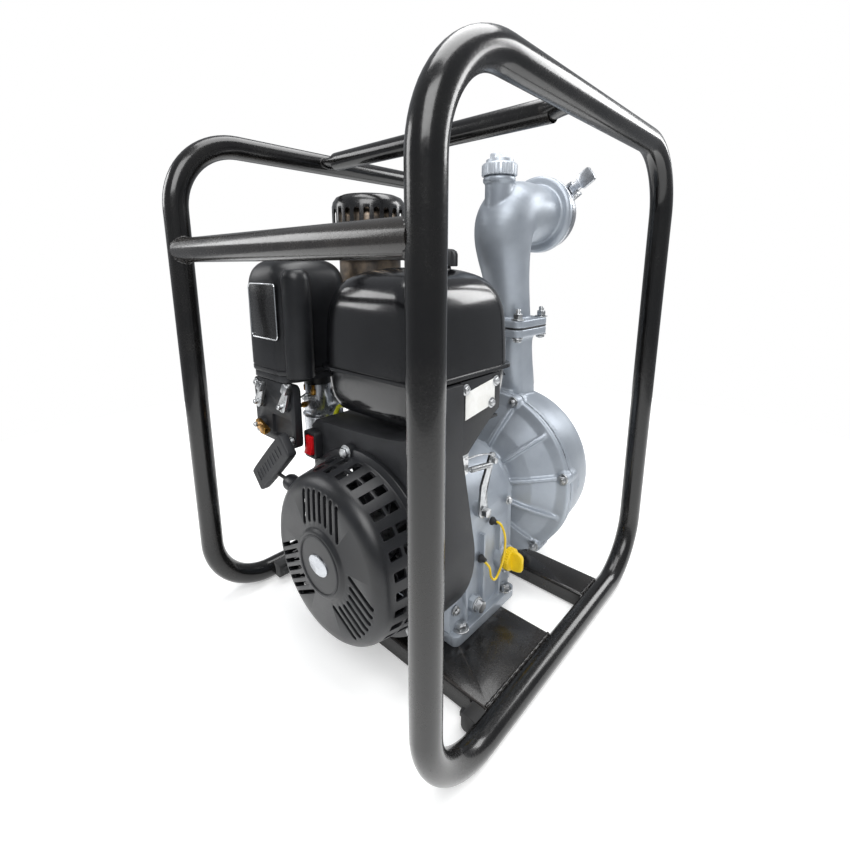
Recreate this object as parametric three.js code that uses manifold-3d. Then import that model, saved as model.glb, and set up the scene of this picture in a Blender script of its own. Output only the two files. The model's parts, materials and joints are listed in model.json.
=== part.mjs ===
// Portable fire pump: an air-cooled overhead-valve engine driving a centrifugal pump in a tube frame.
// Millimetres, +Z up. The crankshaft runs along Y: recoil starter at -Y, pump at +Y.
// The origin is the middle of the footprint, on the ground under the two frame hoops.
import * as THREE from 'three';
import { mergeVertices } from 'three/addons/utils/BufferGeometryUtils.js';
import Module from 'manifold-3d';

const wasm = await Module();
wasm.setup();

// ---- Driving dimensions -------------------------------------------------------------------
const GAP = 0.3;                 // clearance between pieces that touch

const FRAME_LENGTH = 498;        // hoops, outside, along the crankshaft
const FRAME_WIDTH = 428;         // across the two hoops, outside
const FRAME_HEIGHT = 630;
const TUBE_D = 28;
const BEND_R = 82;               // hoop corner, on the tube's centreline
const RAIL_Z = 488;              // front rail's centreline
const TOP_BAR_D = 24;
const TOP_BAR_Y = -20;

const PLATE_TOP = 24;            // engine plate's upper face
const PLATE_FRONT = -132;
const PLATE_REAR = 8;
const SHEET = 3;                 // folded sheet steel
const FLANGE_DROP = 21;          // plate's folded edges
const MEMBER_FRONT = 98;         // rear cross-member under the pump
const MEMBER_DEPTH = 48;

const CRANK_X = 30;
const CRANK_Z = 160;
const SHAFT_R = 12;
const BLOCK_FRONT = -90;
const BLOCK_REAR = 38;
const COVER_DEPTH = 20;          // crankcase cover on the pump side
const SUMP_HALF = 77;
const CASE_R = 74;               // crankcase outside, round the shaft
const CAVITY_R = 60;
const WEB_R = 42;                // crank webs and counterweights
const CRANK_THROW = 20;

const CYLINDER_TILT = 60;        // degrees from upright, towards -X
const CYLINDER_Y = -26;
const DECK = 126;                // crank axis to the cylinder head's joint
const BORE_R = 34;
const PISTON_CLEARANCE = 0.4;
const PISTON_H = 34;
const PISTON_CROWN = 100;        // crown height along the cylinder at rest
const GUDGEON_DROP = 24;         // gudgeon pin below the crown
const FIN_X = 92;
const FIN_Y = 100;
const FIN_T = 2.6;
const FIN_PITCH = 10;
const FIN_COUNT = 5;
const HEAD_H = 32;
const ROCKER_H = 26;

const FAN_FRONT = -152;          // blower housing's front face
const SHROUD_R = 113;
const SHROUD_WALL = 3;
const FLYWHEEL_R = 88;
const FAN_BLADES = 12;
const RECOIL_R = 110;
const RECOIL_DEPTH = 61;
const RECOIL_WALL = 2.8;
const HUB_DISC_R = 40;
const SIDE_SLOTS = 24;
const LOUVRE_PITCH = 9.5;
const LOUVRE_WIDTH = 5;
const PULLEY_R = 56;

const PULL_ANGLE = 175;          // direction of the rope, in degrees round the crank from +X
const GRIP_TILT = 42;            // the grip hangs at a slant to the rope
const GRIP_LENGTH = 100;
const GRIP_WIDTH = 32;
const GRIP_THICK = 13;
const ROPE_R = 2.2;
const ROPE_OFFSET = 50;          // the rope leaves the pulley's groove on this radius
const ROPE_IN = -78;             // ends of the rope along its line
const GRIP_AT = 119;

const TANK_LEFT = -92;           // tank sizes are measured from the crank axis
const TANK_RIGHT = 88;
const TANK_FRONT = -150;
const TANK_REAR = 25;
const TANK_BOTTOM = 140;
const TANK_SEAM = 192;
const TANK_TOP = 308;
const TANK_WALL = 3;
const CAP_X = 22;
const CAP_Y = -62;
const FUEL_CAP_R = 29;

const CLEANER_LEFT = -205;
const CLEANER_RIGHT = -108;
const CLEANER_FRONT = -176;
const CLEANER_REAR = -72;
const CLEANER_BOTTOM = 178;
const CLEANER_TOP = 318;
const CLEANER_WALL = 3;
const CARB_X = -138;             // carburettor's throat, upright under the air cleaner
const CARB_Y = -112;
const CARB_Z = 128;

const MUFFLER_X = -148;
const MUFFLER_Y = -5;
const MUFFLER_R = 44;
const MUFFLER_BOTTOM = 200;
const MUFFLER_TOP = 388;
const MUFFLER_BEAD = 276;        // rolled bead round the can
const GUARD_R = 52;
const GUARD_SLOTS = 16;

const ADAPTER_HUB_R = 52;
const CASING_R = 128;
const CASING_FRONT = 112;
const CASING_REAR = 205;
const CASING_WALL = 6;
const RIM_T = 8;
const RIM_BOLTS = 6;
const IMPELLER_R = 58;
const IMPELLER_FRONT = 128;
const IMPELLER_W = 26;
const VANES = 4;
const VOLUTE_W = 38;
const SUCTION_R = 38;
const PORT_BORE_R = 32;
const DUCT_TOP = 222;            // casing's discharge flange, above the crank axis
const DUCT_Y = 142;
const DUCT_HALF = 42;
const DUCT_BORE_R = 27;
const ELBOW_WALL = 5;
const OUTLET_Z = 386;
const OUTLET_R = 56;
const OUTLET_BORE_R = 36;
const OUTLET_FACE = 212;
const DRAIN_Y = 134;             // casing drain plug
const DRAIN_LEAN = 24;           // degrees round from straight down
const FILLER_Y = 100;
const FILLER_R = 19;

const HALF_PI = Math.PI / 2;
const HOOP_X = (FRAME_WIDTH - TUBE_D) / 2;
const HOOP_Y = (FRAME_LENGTH - TUBE_D) / 2;
const TUBE_R = TUBE_D / 2;
const FOOT = PLATE_TOP + GAP - CRANK_Z;       // underside of what stands on the plate

// ---- Finishes -----------------------------------------------------------------------------
const finish = (color, roughness, metalness) => () =>
  new THREE.MeshStandardMaterial({ color, roughness, metalness });
const blackPaint = finish(0x1c1d1f, 0.28, 0.3);
const castAluminium = finish(0xa9adb3, 0.5, 0.75);
const machinedAluminium = finish(0xc3c6ca, 0.35, 0.9);
const blackSteel = finish(0x17171a, 0.3, 0.2);
const mattePlastic = finish(0x2b2d30, 0.6, 0);
const glossPlastic = finish(0x161618, 0.25, 0);
const brightSteel = finish(0xb9bcc1, 0.3, 0.95);
const darkIron = finish(0x4a4c50, 0.55, 0.7);
const blackRubber = finish(0x151515, 0.8, 0);
const yellowPlastic = finish(0xe8c81a, 0.45, 0);
const redPlastic = finish(0xc02026, 0.4, 0);
const brass = finish(0xb07a3c, 0.35, 0.9);
const whiteLabel = finish(0xe6e6e2, 0.6, 0);
const foam = finish(0x6b675c, 0.95, 0);

// ---- Solids -------------------------------------------------------------------------------
// A closed three.js geometry as a solid that can be joined and cut.
function solid(geometry) {
  const bare = geometry.clone();
  bare.deleteAttribute('normal');
  bare.deleteAttribute('uv');
  const merged = mergeVertices(bare, 1e-4);
  const vertices = new Float32Array(merged.attributes.position.array);
  const index = merged.index.array;
  const corners = [];
  let volume = 0;
  const a = new THREE.Vector3(), b = new THREE.Vector3(), c = new THREE.Vector3();
  for (let i = 0; i < index.length; i += 3) {
    const [p, q, r] = [index[i], index[i + 1], index[i + 2]];
    if (p === q || q === r || r === p) continue;
    corners.push([p, q, r]);
    a.fromArray(vertices, 3 * p);
    b.fromArray(vertices, 3 * q);
    c.fromArray(vertices, 3 * r);
    volume += a.dot(b.cross(c));
  }
  const triangles = corners.flatMap(([p, q, r]) => (volume < 0 ? [r, q, p] : [p, q, r]));
  return new wasm.Manifold(new wasm.Mesh({
    numProp: 3, vertProperties: vertices, triVerts: new Uint32Array(triangles),
  }));
}

const join = (...solids) => solids.reduce((sum, next) => sum.add(next));
const cut = (body, ...tools) => tools.reduce((rest, tool) => rest.subtract(tool), body);

// Back to a three.js geometry.
function geometryOf(body) {
  const { vertProperties, triVerts, numProp } = body.getMesh();
  const geometry = new THREE.BufferGeometry();
  const positions = new Float32Array((vertProperties.length / numProp) * 3);
  for (let i = 0; i < positions.length / 3; i++) {
    for (let k = 0; k < 3; k++) positions[3 * i + k] = vertProperties[numProp * i + k];
  }
  geometry.setAttribute('position', new THREE.BufferAttribute(positions, 3));
  geometry.setIndex(new THREE.BufferAttribute(new Uint32Array(triVerts), 1));
  geometry.computeVertexNormals();
  return geometry;
}

// ---- Outlines and basic forms -------------------------------------------------------------
const ring = (radius, sides, phase = 0) => Array.from({ length: sides }, (_, i) => {
  const angle = phase + (2 * Math.PI * i) / sides;
  return new THREE.Vector2(radius * Math.cos(angle), radius * Math.sin(angle));
});
const disc = (radius, sides) => new THREE.Shape(ring(radius, sides));

function roundRect(x0, y0, x1, y1, radius) {
  const shape = new THREE.Shape();
  shape.absarc(x1 - radius, y0 + radius, radius, -HALF_PI, 0);
  shape.absarc(x1 - radius, y1 - radius, radius, 0, HALF_PI);
  shape.absarc(x0 + radius, y1 - radius, radius, HALF_PI, Math.PI);
  shape.absarc(x0 + radius, y0 + radius, radius, Math.PI, 1.5 * Math.PI);
  shape.closePath();
  return shape;
}

const extrude = (shape, depth, curveSegments = 2) =>
  new THREE.ExtrudeGeometry(shape, { depth, bevelEnabled: false, curveSegments });

// Extrusions of an outline drawn in XY, XZ or YZ between two levels of the third axis.
const alongZ = (shape, z0, z1, segments) =>
  solid(extrude(shape, z1 - z0, segments).translate(0, 0, z0));
const alongY = (shape, y0, y1, segments) =>
  solid(extrude(shape, y1 - y0, segments).rotateX(HALF_PI).translate(0, y1, 0));
const alongX = (shape, x0, x1, segments) =>
  solid(extrude(shape, x1 - x0, segments).rotateY(HALF_PI).rotateX(HALF_PI).translate(x0, 0, 0));

const block = (x0, x1, y0, y1, z0, z1) => solid(
  new THREE.BoxGeometry(x1 - x0, y1 - y0, z1 - z0)
    .translate((x0 + x1) / 2, (y0 + y1) / 2, (z0 + z1) / 2));

const ROUNDNESS = 0.14;          // quarter of the faces round a turned piece, per segment asked for

// Solid of revolution about Y from a profile of [radius, y] points.
function turnedY(profile, segments = 24) {
  const points = profile.map(([r, y]) => new THREE.Vector2(r, y));
  if (profile[0][0] > 0) points.push(points[0].clone());
  const sides = segments > 6 ? 4 * Math.round(segments * ROUNDNESS) : segments;
  return solid(new THREE.LatheGeometry(points, sides));
}
const rodY = (radius, y0, y1, segments = 16) =>
  turnedY([[0, y0], [radius, y0], [radius, y1], [0, y1]], segments);
const upright = body => body.rotate([90, 0, 0]);       // Y axis becomes Z
const sideways = body => body.rotate([0, 0, -90]);     // Y axis becomes X
const rodZ = (radius, z0, z1, segments = 16) => upright(rodY(radius, z0, z1, segments));
const rodX = (radius, x0, x1, segments = 16) => sideways(rodY(radius, x0, x1, segments));

// Copies of a solid turned about Y; a positive angle runs from +X towards +Z.
const turnedCopy = (body, degrees) => body.rotate([0, -degrees, 0]);
const aroundY = (body, count, start = 0) =>
  Array.from({ length: count }, (_, i) => turnedCopy(body, start + (360 * i) / count));

// Skin through outlines stacked along Z, each with the same number of points.
function loft(sections) {
  const count = sections[0].points.length;
  const vertices = sections.flatMap(({ points, z }) => points.flatMap(p => [p.x, p.y, z]));
  const index = [];
  for (let s = 0; s < sections.length - 1; s++) {
    for (let i = 0; i < count; i++) {
      const a = s * count + i;
      const b = s * count + ((i + 1) % count);
      index.push(a, b, b + count, a, b + count, a + count);
    }
  }
  const capFaces = THREE.ShapeUtils.triangulateShape(sections[0].points, []);
  const topFaces = THREE.ShapeUtils.triangulateShape(sections.at(-1).points, []);
  const top = (sections.length - 1) * count;
  for (const [a, b, c] of capFaces) index.push(c, b, a);
  for (const [a, b, c] of topFaces) index.push(top + a, top + b, top + c);
  const geometry = new THREE.BufferGeometry();
  geometry.setAttribute('position', new THREE.Float32BufferAttribute(vertices, 3));
  geometry.setIndex(index);
  return solid(geometry);
}

const CORNER_STEPS = 2;          // half the number of faces round a lofted corner

// Rounded-rectangle section: lists of [z, x0, x1, y0, y1, corner radius], drawn in by an inset.
function roundedLoft(rows, inset = 0) {
  return loft(rows.map(([z, x0, x1, y0, y1, radius]) => {
    const corner = Math.max(radius - inset, 2);
    const outline = roundRect(x0 + inset, y0 + inset, x1 - inset, y1 - inset, corner);
    return { z, points: outline.getPoints(CORNER_STEPS).slice(0, -1) };
  }));
}

// Centreline of a bent tube: straight runs and round bends, with stations only where it turns.
class BentPath extends THREE.Curve {
  constructor(corners, bendRadius, normal, steps = 5) {
    super();
    this.normal = normal;
    this.points = [corners[0]];
    this.tangents = [corners[1].clone().sub(corners[0]).normalize()];
    for (let i = 1; i < corners.length - 1; i++) {
      const into = corners[i].clone().sub(corners[i - 1]).normalize();
      const out = corners[i + 1].clone().sub(corners[i]).normalize();
      const turn = into.angleTo(out);
      const reach = bendRadius * Math.tan(turn / 2);
      const start = corners[i].clone().addScaledVector(into, -reach);
      const side = out.clone().addScaledVector(into, -out.dot(into)).normalize();
      for (let k = 0; k <= steps; k++) {
        const angle = (turn * k) / steps;
        this.points.push(start.clone().addScaledVector(into, bendRadius * Math.sin(angle))
          .addScaledVector(side, bendRadius * (1 - Math.cos(angle))));
        this.tangents.push(into.clone().multiplyScalar(Math.cos(angle))
          .addScaledVector(side, Math.sin(angle)));
      }
    }
    this.points.push(corners.at(-1));
    this.tangents.push(this.tangents.at(-1).clone());
  }
  getPoint(t) {
    return this.points[Math.round(t * (this.points.length - 1))].clone();
  }
  getSpacedPoints() {
    return this.points;
  }
  computeFrenetFrames() {
    const normals = this.points.map(() => this.normal);
    const binormals = this.tangents.map(t => t.clone().cross(this.normal));
    return { tangents: this.tangents, normals, binormals };
  }
}

function bentTube(path, radius, sides = 12) {
  return solid(new THREE.ExtrudeGeometry(disc(radius, sides), {
    extrudePath: path, steps: path.points.length - 1, bevelEnabled: false,
  }));
}

// Thin round lead or hose through hand-placed points.
function softTube(points, radius, sides, steps) {
  const curve = new THREE.CatmullRomCurve3(points.map(p => new THREE.Vector3(...p)));
  return solid(new THREE.ExtrudeGeometry(disc(radius, sides), {
    extrudePath: curve, steps, bevelEnabled: false,
  }));
}

// ---- Scene graph --------------------------------------------------------------------------
const pump = new THREE.Group();
const frame = new THREE.Group();
const machine = new THREE.Group();        // engine and pump, about the crank axis
machine.position.set(CRANK_X, 0, CRANK_Z);
pump.add(frame, machine);

function place(group, name, body, material) {
  const mesh = new THREE.Mesh(geometryOf(body), material());
  mesh.name = name;
  group.add(mesh);
  return mesh;
}

// ---- Tube frame ---------------------------------------------------------------------------
function hoop(x) {
  const top = FRAME_HEIGHT - TUBE_R;
  const half = side => [[0, TUBE_R], [side * HOOP_Y, TUBE_R], [side * HOOP_Y, top], [0, top]]
    .map(([y, z]) => new THREE.Vector3(x, y, z));
  const normal = new THREE.Vector3(1, 0, 0);
  const halves = [-1, 1].map(side => bentTube(new BentPath(half(side), BEND_R, normal), TUBE_R));
  return join(...halves);
}

// Tools that cope another piece round a hoop; their flats stay clear of the tube.
const COPE_R = (TUBE_R + GAP) / Math.cos(Math.PI / 16);
const legCutters = () => [-HOOP_X, HOOP_X].map(
  x => rodZ(COPE_R, 0, FRAME_HEIGHT, 28).translate([x, -HOOP_Y, 0]));
const lengthwiseCutters = z => [-HOOP_X, HOOP_X].map(
  x => rodY(COPE_R, -FRAME_LENGTH, FRAME_LENGTH, 28).translate([x, 0, z]));

function frontRail() {
  const rail = rodX(TUBE_R, -HOOP_X, HOOP_X, 16).translate([0, -HOOP_Y, RAIL_Z]);
  return cut(rail, ...legCutters());
}

function topBar() {
  const z = FRAME_HEIGHT - TUBE_R;
  const bar = rodX(TOP_BAR_D / 2, -HOOP_X, HOOP_X, 16).translate([0, TOP_BAR_Y, z]);
  return cut(bar, ...lengthwiseCutters(z));
}

// Folded channel, open downwards, between two y edges.
function channel(front, rear, rearFlange) {
  const low = PLATE_TOP - FLANGE_DROP;
  const shape = new THREE.Shape();
  shape.moveTo(front, low);
  shape.lineTo(front + SHEET, low);
  shape.lineTo(front + SHEET, PLATE_TOP - SHEET);
  if (rearFlange) {
    shape.lineTo(rear - SHEET, PLATE_TOP - SHEET);
    shape.lineTo(rear - SHEET, low);
    shape.lineTo(rear, low);
    shape.absarc(rear - 5, PLATE_TOP - 5, 5, 0, HALF_PI);
  } else {
    shape.lineTo(rear, PLATE_TOP - SHEET);
    shape.lineTo(rear, PLATE_TOP);
  }
  shape.absarc(front + 5, PLATE_TOP - 5, 5, HALF_PI, Math.PI);
  shape.closePath();
  const sheet = alongX(shape, -HOOP_X, HOOP_X, 3);
  return cut(sheet, ...lengthwiseCutters(TUBE_R));
}

const FOOT_X = 68;               // engine hold-down bolts, either side of the crank
const FOOT_Y = [-74, 22];

function basePlate() {
  const slots = FOOT_Y.flatMap(y => [-FOOT_X, FOOT_X].map(x => alongZ(
    roundRect(x - 9, y - 5, x + 9, y + 5, 4.9), 0, FRAME_HEIGHT / 2, 3)
    .translate([CRANK_X, 0, 0])));
  const drain = rodZ(16, 0, PLATE_TOP + 1, 20)
    .translate([CRANK_X - 20, (PLATE_FRONT + PLATE_REAR) / 2, 0]);
  return cut(channel(PLATE_FRONT, PLATE_REAR, true), ...slots, drain);
}

function rearMember() {
  return channel(MEMBER_FRONT, MEMBER_FRONT + MEMBER_DEPTH, false);
}

// Rubber-faced stop clipped to a bottom tube, with its bolt head.
function hoopLug(side) {
  const y = PLATE_FRONT - 20;
  const inner = HOOP_X - TUBE_R;
  const body = alongY(roundRect(inner - 13, 6, inner + 6, 27, 4), y, y + 18, 1);
  const bolt = rodX(5.5, inner - 18, inner - 10, 6).translate([0, y + 9, 17]);
  const lug = cut(join(body, bolt), ...lengthwiseCutters(TUBE_R));
  return side > 0 ? lug : lug.mirror([1, 0, 0]);
}

place(frame, 'hoop_right', hoop(HOOP_X), blackPaint);
place(frame, 'hoop_left', hoop(-HOOP_X), blackPaint);
place(frame, 'front_rail', frontRail(), blackPaint);
place(frame, 'top_bar', topBar(), blackPaint);
place(frame, 'base_plate', basePlate(), blackPaint);
place(frame, 'rear_crossmember', rearMember(), blackPaint);
place(frame, 'hoop_lug_right', hoopLug(1), blackRubber);
place(frame, 'hoop_lug_left', hoopLug(-1), blackRubber);

// ---- Cylinder block -----------------------------------------------------------------------
const inclined = body => body.translate([0, CYLINDER_Y, 0]).rotate([0, -CYLINDER_TILT, 0]);
const cylinderRod = (radius, z0, z1, segments = 32) => inclined(rodZ(radius, z0, z1, segments));
const cylinderSlab = (halfX, halfY, radius, z0, z1) =>
  inclined(alongZ(roundRect(-halfX, -halfY, halfX, halfY, radius), z0, z1, 1));

function crankcaseOutline() {
  const shape = new THREE.Shape();
  shape.moveTo(-SUMP_HALF, FOOT + 12);
  shape.lineTo(SUMP_HALF, FOOT + 12);
  shape.absarc(0, 0, CASE_R, -0.12, 1.85);
  const tilt = THREE.MathUtils.degToRad(90 + CYLINDER_TILT);
  const deck = 62;
  const [cx, cz] = [deck * Math.cos(tilt), deck * Math.sin(tilt)];
  const half = FIN_X / 2 - 4;
  shape.lineTo(cx + half * Math.sin(tilt), cz - half * Math.cos(tilt));
  shape.lineTo(cx - half * Math.sin(tilt), cz + half * Math.cos(tilt));
  shape.closePath();
  return shape;
}

function cylinderBlock() {
  const casing = alongY(crankcaseOutline(), BLOCK_FRONT, BLOCK_REAR, 7);
  const foot = alongZ(roundRect(-SUMP_HALF - 12, BLOCK_FRONT - 2, SUMP_HALF + 12, BLOCK_REAR, 8),
    FOOT, FOOT + 13, 3);
  const barrel = cylinderRod(BORE_R + 7, 40, DECK, 28);
  const flange = cylinderSlab(FIN_X / 2 - 2, FIN_Y / 2 - 2, 10, DECK - 8, DECK);
  const fins = Array.from({ length: FIN_COUNT }, (_, i) => {
    const z = 68 + i * FIN_PITCH;
    return cylinderSlab(FIN_X / 2, FIN_Y / 2, 12, z, z + FIN_T);
  });
  const ribs = [-62, -26, 10].map(y =>
    block(SUMP_HALF - 8, SUMP_HALF + 4, y - 2.5, y + 2.5, FOOT + 12, -18));
  const fillerBoss = sideways(rodY(17, SUMP_HALF - 20, SUMP_HALF + 9, 20)).translate([0, 18, -70]);
  const drainBoss = sideways(rodY(11, SUMP_HALF - 14, SUMP_HALF + 6, 16)).translate([0, -44, -106]);
  const leverBoss = sideways(rodY(9, CASE_R - 20, SUMP_HALF + 2, 14)).translate([0, -34, 18]);
  const cavity = rodY(CAVITY_R, BLOCK_FRONT + 12, BLOCK_REAR + 1, 28);
  const bearing = rodY(SHAFT_R + GAP, BLOCK_FRONT - 2, BLOCK_REAR + 1, 24);
  const bore = cylinderRod(BORE_R, 10, DECK + 1, 28);
  const bolts = [-FOOT_X, FOOT_X].flatMap(x => FOOT_Y.map(y =>
    rodZ(4.6, FOOT - 1, FOOT + 20, 12).translate([x * 1.2, y, 0])));
  const solidBlock = join(casing, foot, barrel, flange, ...fins, ...ribs,
    fillerBoss, drainBoss, leverBoss);
  return cut(solidBlock, cavity, bearing, bore, ...bolts);
}

function coverPlate() {
  const y0 = BLOCK_REAR + GAP;
  const y1 = BLOCK_REAR + COVER_DEPTH;
  const outline = new THREE.Shape();
  outline.moveTo(-SUMP_HALF + 3, FOOT + 14);
  outline.lineTo(SUMP_HALF - 3, FOOT + 14);
  outline.absarc(0, 0, CASE_R - 2, -0.1, Math.PI + 0.1);
  outline.closePath();
  const plate = alongY(outline, y0, y0 + 9, 12);
  const nose = turnedY([[0, y0], [62, y0 + 8], [ADAPTER_HUB_R, y1], [0, y1]], 32);
  const studs = aroundY(rodY(5.5, y0 + 6, y0 + 13, 6).translate([66, 0, 0]), 6, 10);
  return cut(join(plate, nose, ...studs), rodY(SHAFT_R + GAP, y0 - 1, y1 + 1, 24));
}

// One crank throw between two webs, with the pump shaft at one end and the starter at the other.
function crankshaft() {
  const shaft = rodY(SHAFT_R, FAN_FRONT - 20, IMPELLER_FRONT + IMPELLER_W + 10, 24);
  const taper = turnedY([[0, -131], [SHAFT_R + 1.5, -131], [SHAFT_R + 4, BLOCK_FRONT - 6],
    [0, BLOCK_FRONT - 6]], 24);
  const weight = new THREE.Shape();
  weight.moveTo(18, 24);
  weight.absarc(0, 0, WEB_R, -0.35, -Math.PI + 0.35, true);
  weight.lineTo(-18, 24);
  weight.absarc(0, CRANK_THROW, 20, Math.PI, 0, true);
  weight.closePath();
  const webs = [CYLINDER_Y - 26, CYLINDER_Y + 14].map(y => alongY(weight, y, y + 12, 8));
  const pin = rodY(13, CYLINDER_Y - 20, CYLINDER_Y + 20, 20).translate([0, 0, CRANK_THROW]);
  const middle = rodY(SHAFT_R + 1, CYLINDER_Y - 14.1, CYLINDER_Y + 14.1, 24);
  return cut(join(shaft, taper, ...webs, pin), middle);
}

// Slipper piston with two ring grooves, its gudgeon pin and the bosses that hold the pin.
function piston() {
  const radius = BORE_R - PISTON_CLEARANCE;
  const groove = radius - 1.5;
  const crown = upright(turnedY([
    [0, 0], [radius, 0], [radius, -5], [groove, -5], [groove, -7], [radius, -7],
    [radius, -11], [groove, -11], [groove, -13], [radius, -13], [radius, -PISTON_H],
    [radius - 5, -PISTON_H], [radius - 5, -9], [0, -9]], 28));
  const bosses = cut(rodX(9, -radius + 3, radius - 3, 20), rodX(20, -11, 11, 20));
  const pin = rodX(6.5, -radius + 4, radius - 4, 16);
  const whole = join(crown, join(bosses, pin).translate([0, 0, -GUDGEON_DROP]));
  return inclined(whole.translate([0, 0, PISTON_CROWN]));
}

function cylinderHead() {
  const z0 = DECK + GAP;
  const z1 = DECK + HEAD_H;
  const core = cylinderSlab(FIN_X / 2 - 10, FIN_Y / 2 - 12, 12, z0, z1);
  const plates = [z0, z0 + 9, z0 + 18, z1 - 5].map((z, i) =>
    cylinderSlab(FIN_X / 2, FIN_Y / 2, 12, z, z + (i === 3 ? 5 : 3)));
  const plugBoss = rodY(12.4, FIN_Y / 2 - 20, FIN_Y / 2 + 4, 16).translate([0, 0, DECK + 14]);
  const intake = rodY(12.4, -FIN_Y / 2 - 2, -FIN_Y / 2 + 20, 20).translate([14, 0, DECK + 14]);
  const chamber = cylinderRod(BORE_R - 6, z0 - 1, z0 + 9, 28);
  const plugHole = inclined(rodY(6 + GAP, FIN_Y / 2 - 14, FIN_Y / 2 + 6, 12)
    .translate([0, 0, DECK + 14]));
  return cut(join(core, ...plates, inclined(plugBoss), inclined(intake)), chamber, plugHole);
}

function valveCover() {
  const z0 = DECK + HEAD_H + GAP;
  const rows = [[0, 0], [3, 0], [3.2, 3], [ROCKER_H - 8, 5], [ROCKER_H - 2, 10], [ROCKER_H, 17]]
    .map(([h, inset]) => {
      const [halfX, halfY] = [FIN_X / 2 - 8 - inset, FIN_Y / 2 - 14 - inset];
      return [z0 + h, -halfX, halfX, -halfY, halfY, Math.min(18, halfX - 1, halfY - 1)];
    });
  return inclined(roundedLoft(rows));
}

// The plug stands out of the head's pump side; the cap pushes onto it.
const PLUG_Y = FIN_Y / 2;
const plugLine = body => inclined(body.translate([0, 0, DECK + 14]));
function sparkPlug() {
  return plugLine(turnedY([[0, PLUG_Y - 12], [6, PLUG_Y - 12], [6, PLUG_Y + 4 + GAP],
    [10.5, PLUG_Y + 4 + GAP], [10.5, PLUG_Y + 12], [6, PLUG_Y + 13], [5, PLUG_Y + 36],
    [2.5, PLUG_Y + 37], [2.5, PLUG_Y + 42], [0, PLUG_Y + 42]], 12));
}
function plugCap() {
  const boot = turnedY([[0, PLUG_Y + 57], [10, PLUG_Y + 55], [11, PLUG_Y + 48], [9.5, PLUG_Y + 22],
    [6 + GAP, PLUG_Y + 22], [5.4 + GAP, PLUG_Y + 42 + GAP], [0, PLUG_Y + 42 + GAP]], 16);
  const arm = rodZ(6.5, 0, 26, 14).translate([0, PLUG_Y + 50, 0]);
  return plugLine(join(boot, arm));
}

place(machine, 'cylinder_block', cylinderBlock(), castAluminium);
place(machine, 'crankcase_cover', coverPlate(), castAluminium);
place(machine, 'crankshaft', crankshaft(), brightSteel);
place(machine, 'piston', piston(), machinedAluminium);
place(machine, 'cylinder_head', cylinderHead(), castAluminium);
place(machine, 'valve_cover', valveCover(), blackSteel);
place(machine, 'spark_plug', sparkPlug(), brightSteel);
place(machine, 'plug_cap', plugCap(), blackRubber);

// ---- Flywheel, blower housing and recoil starter ------------------------------------------
function flywheel() {
  const back = BLOCK_FRONT - 8;
  const wheel = turnedY([[SHAFT_R + 4 + GAP, back], [FLYWHEEL_R - 6, back], [FLYWHEEL_R - 6, back - 22],
    [FLYWHEEL_R - 16, back - 22], [FLYWHEEL_R - 16, back - 8], [30, back - 8],
    [26, back - 34], [SHAFT_R + 4 + GAP, back - 34]], 28);
  const blade = new THREE.Shape();
  blade.moveTo(34, -2);
  blade.quadraticCurveTo(60, 8, FLYWHEEL_R - 2, 2);
  blade.lineTo(FLYWHEEL_R - 2, 5);
  blade.quadraticCurveTo(60, 12, 34, 1);
  blade.closePath();
  const fan = alongY(blade, back - 34, back - 6, 3);
  return join(wheel, ...aroundY(fan, FAN_BLADES));
}

function starterCup() {
  const rear = BLOCK_FRONT - 8 - 34 - GAP;
  return turnedY([[SHAFT_R + GAP, rear], [33, rear], [33, rear - 20], [30.5, rear - 20],
    [30.5, rear - 2.5], [SHAFT_R + GAP, rear - 2.5]], 32);
}

// Outline of the blower housing: a scroll round the flywheel that rises under the fuel tank.
function shroudOutline(inset) {
  const left = TANK_LEFT - 6 + inset;
  const right = TANK_RIGHT + 6 - inset;
  const radius = SHROUD_R - inset;
  const shape = new THREE.Shape();
  shape.absarc(0, 0, radius, Math.PI * 0.82, Math.PI * 2.07);
  shape.lineTo(right, 112);
  shape.lineTo(right, TANK_SEAM - 2 - inset);
  shape.lineTo(TANK_RIGHT - 3.5 + inset, TANK_SEAM - 2 - inset);
  shape.lineTo(TANK_RIGHT - 4 + inset, TANK_BOTTOM + 19);
  shape.lineTo(TANK_RIGHT - 10 + inset, TANK_BOTTOM + 5 - inset);
  shape.lineTo(TANK_RIGHT - 22, TANK_BOTTOM - 2 - inset);
  shape.quadraticCurveTo(right - 50, TANK_BOTTOM - 10 - inset, left + 10, TANK_BOTTOM - 14 - inset);
  shape.lineTo(left, TANK_BOTTOM - 24 - inset);
  shape.closePath();
  return shape;
}

function blowerHousing() {
  const rear = BLOCK_FRONT - 2 - GAP;
  const outside = alongY(shroudOutline(0), FAN_FRONT + GAP, rear, 12);
  const inside = alongY(shroudOutline(SHROUD_WALL), FAN_FRONT + SHROUD_WALL + GAP, rear + 1, 12);
  const mouth = rodY(FLYWHEEL_R + 4, FAN_FRONT - 1, FAN_FRONT + 8, 40);
  return cut(outside, inside, mouth);
}

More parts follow.
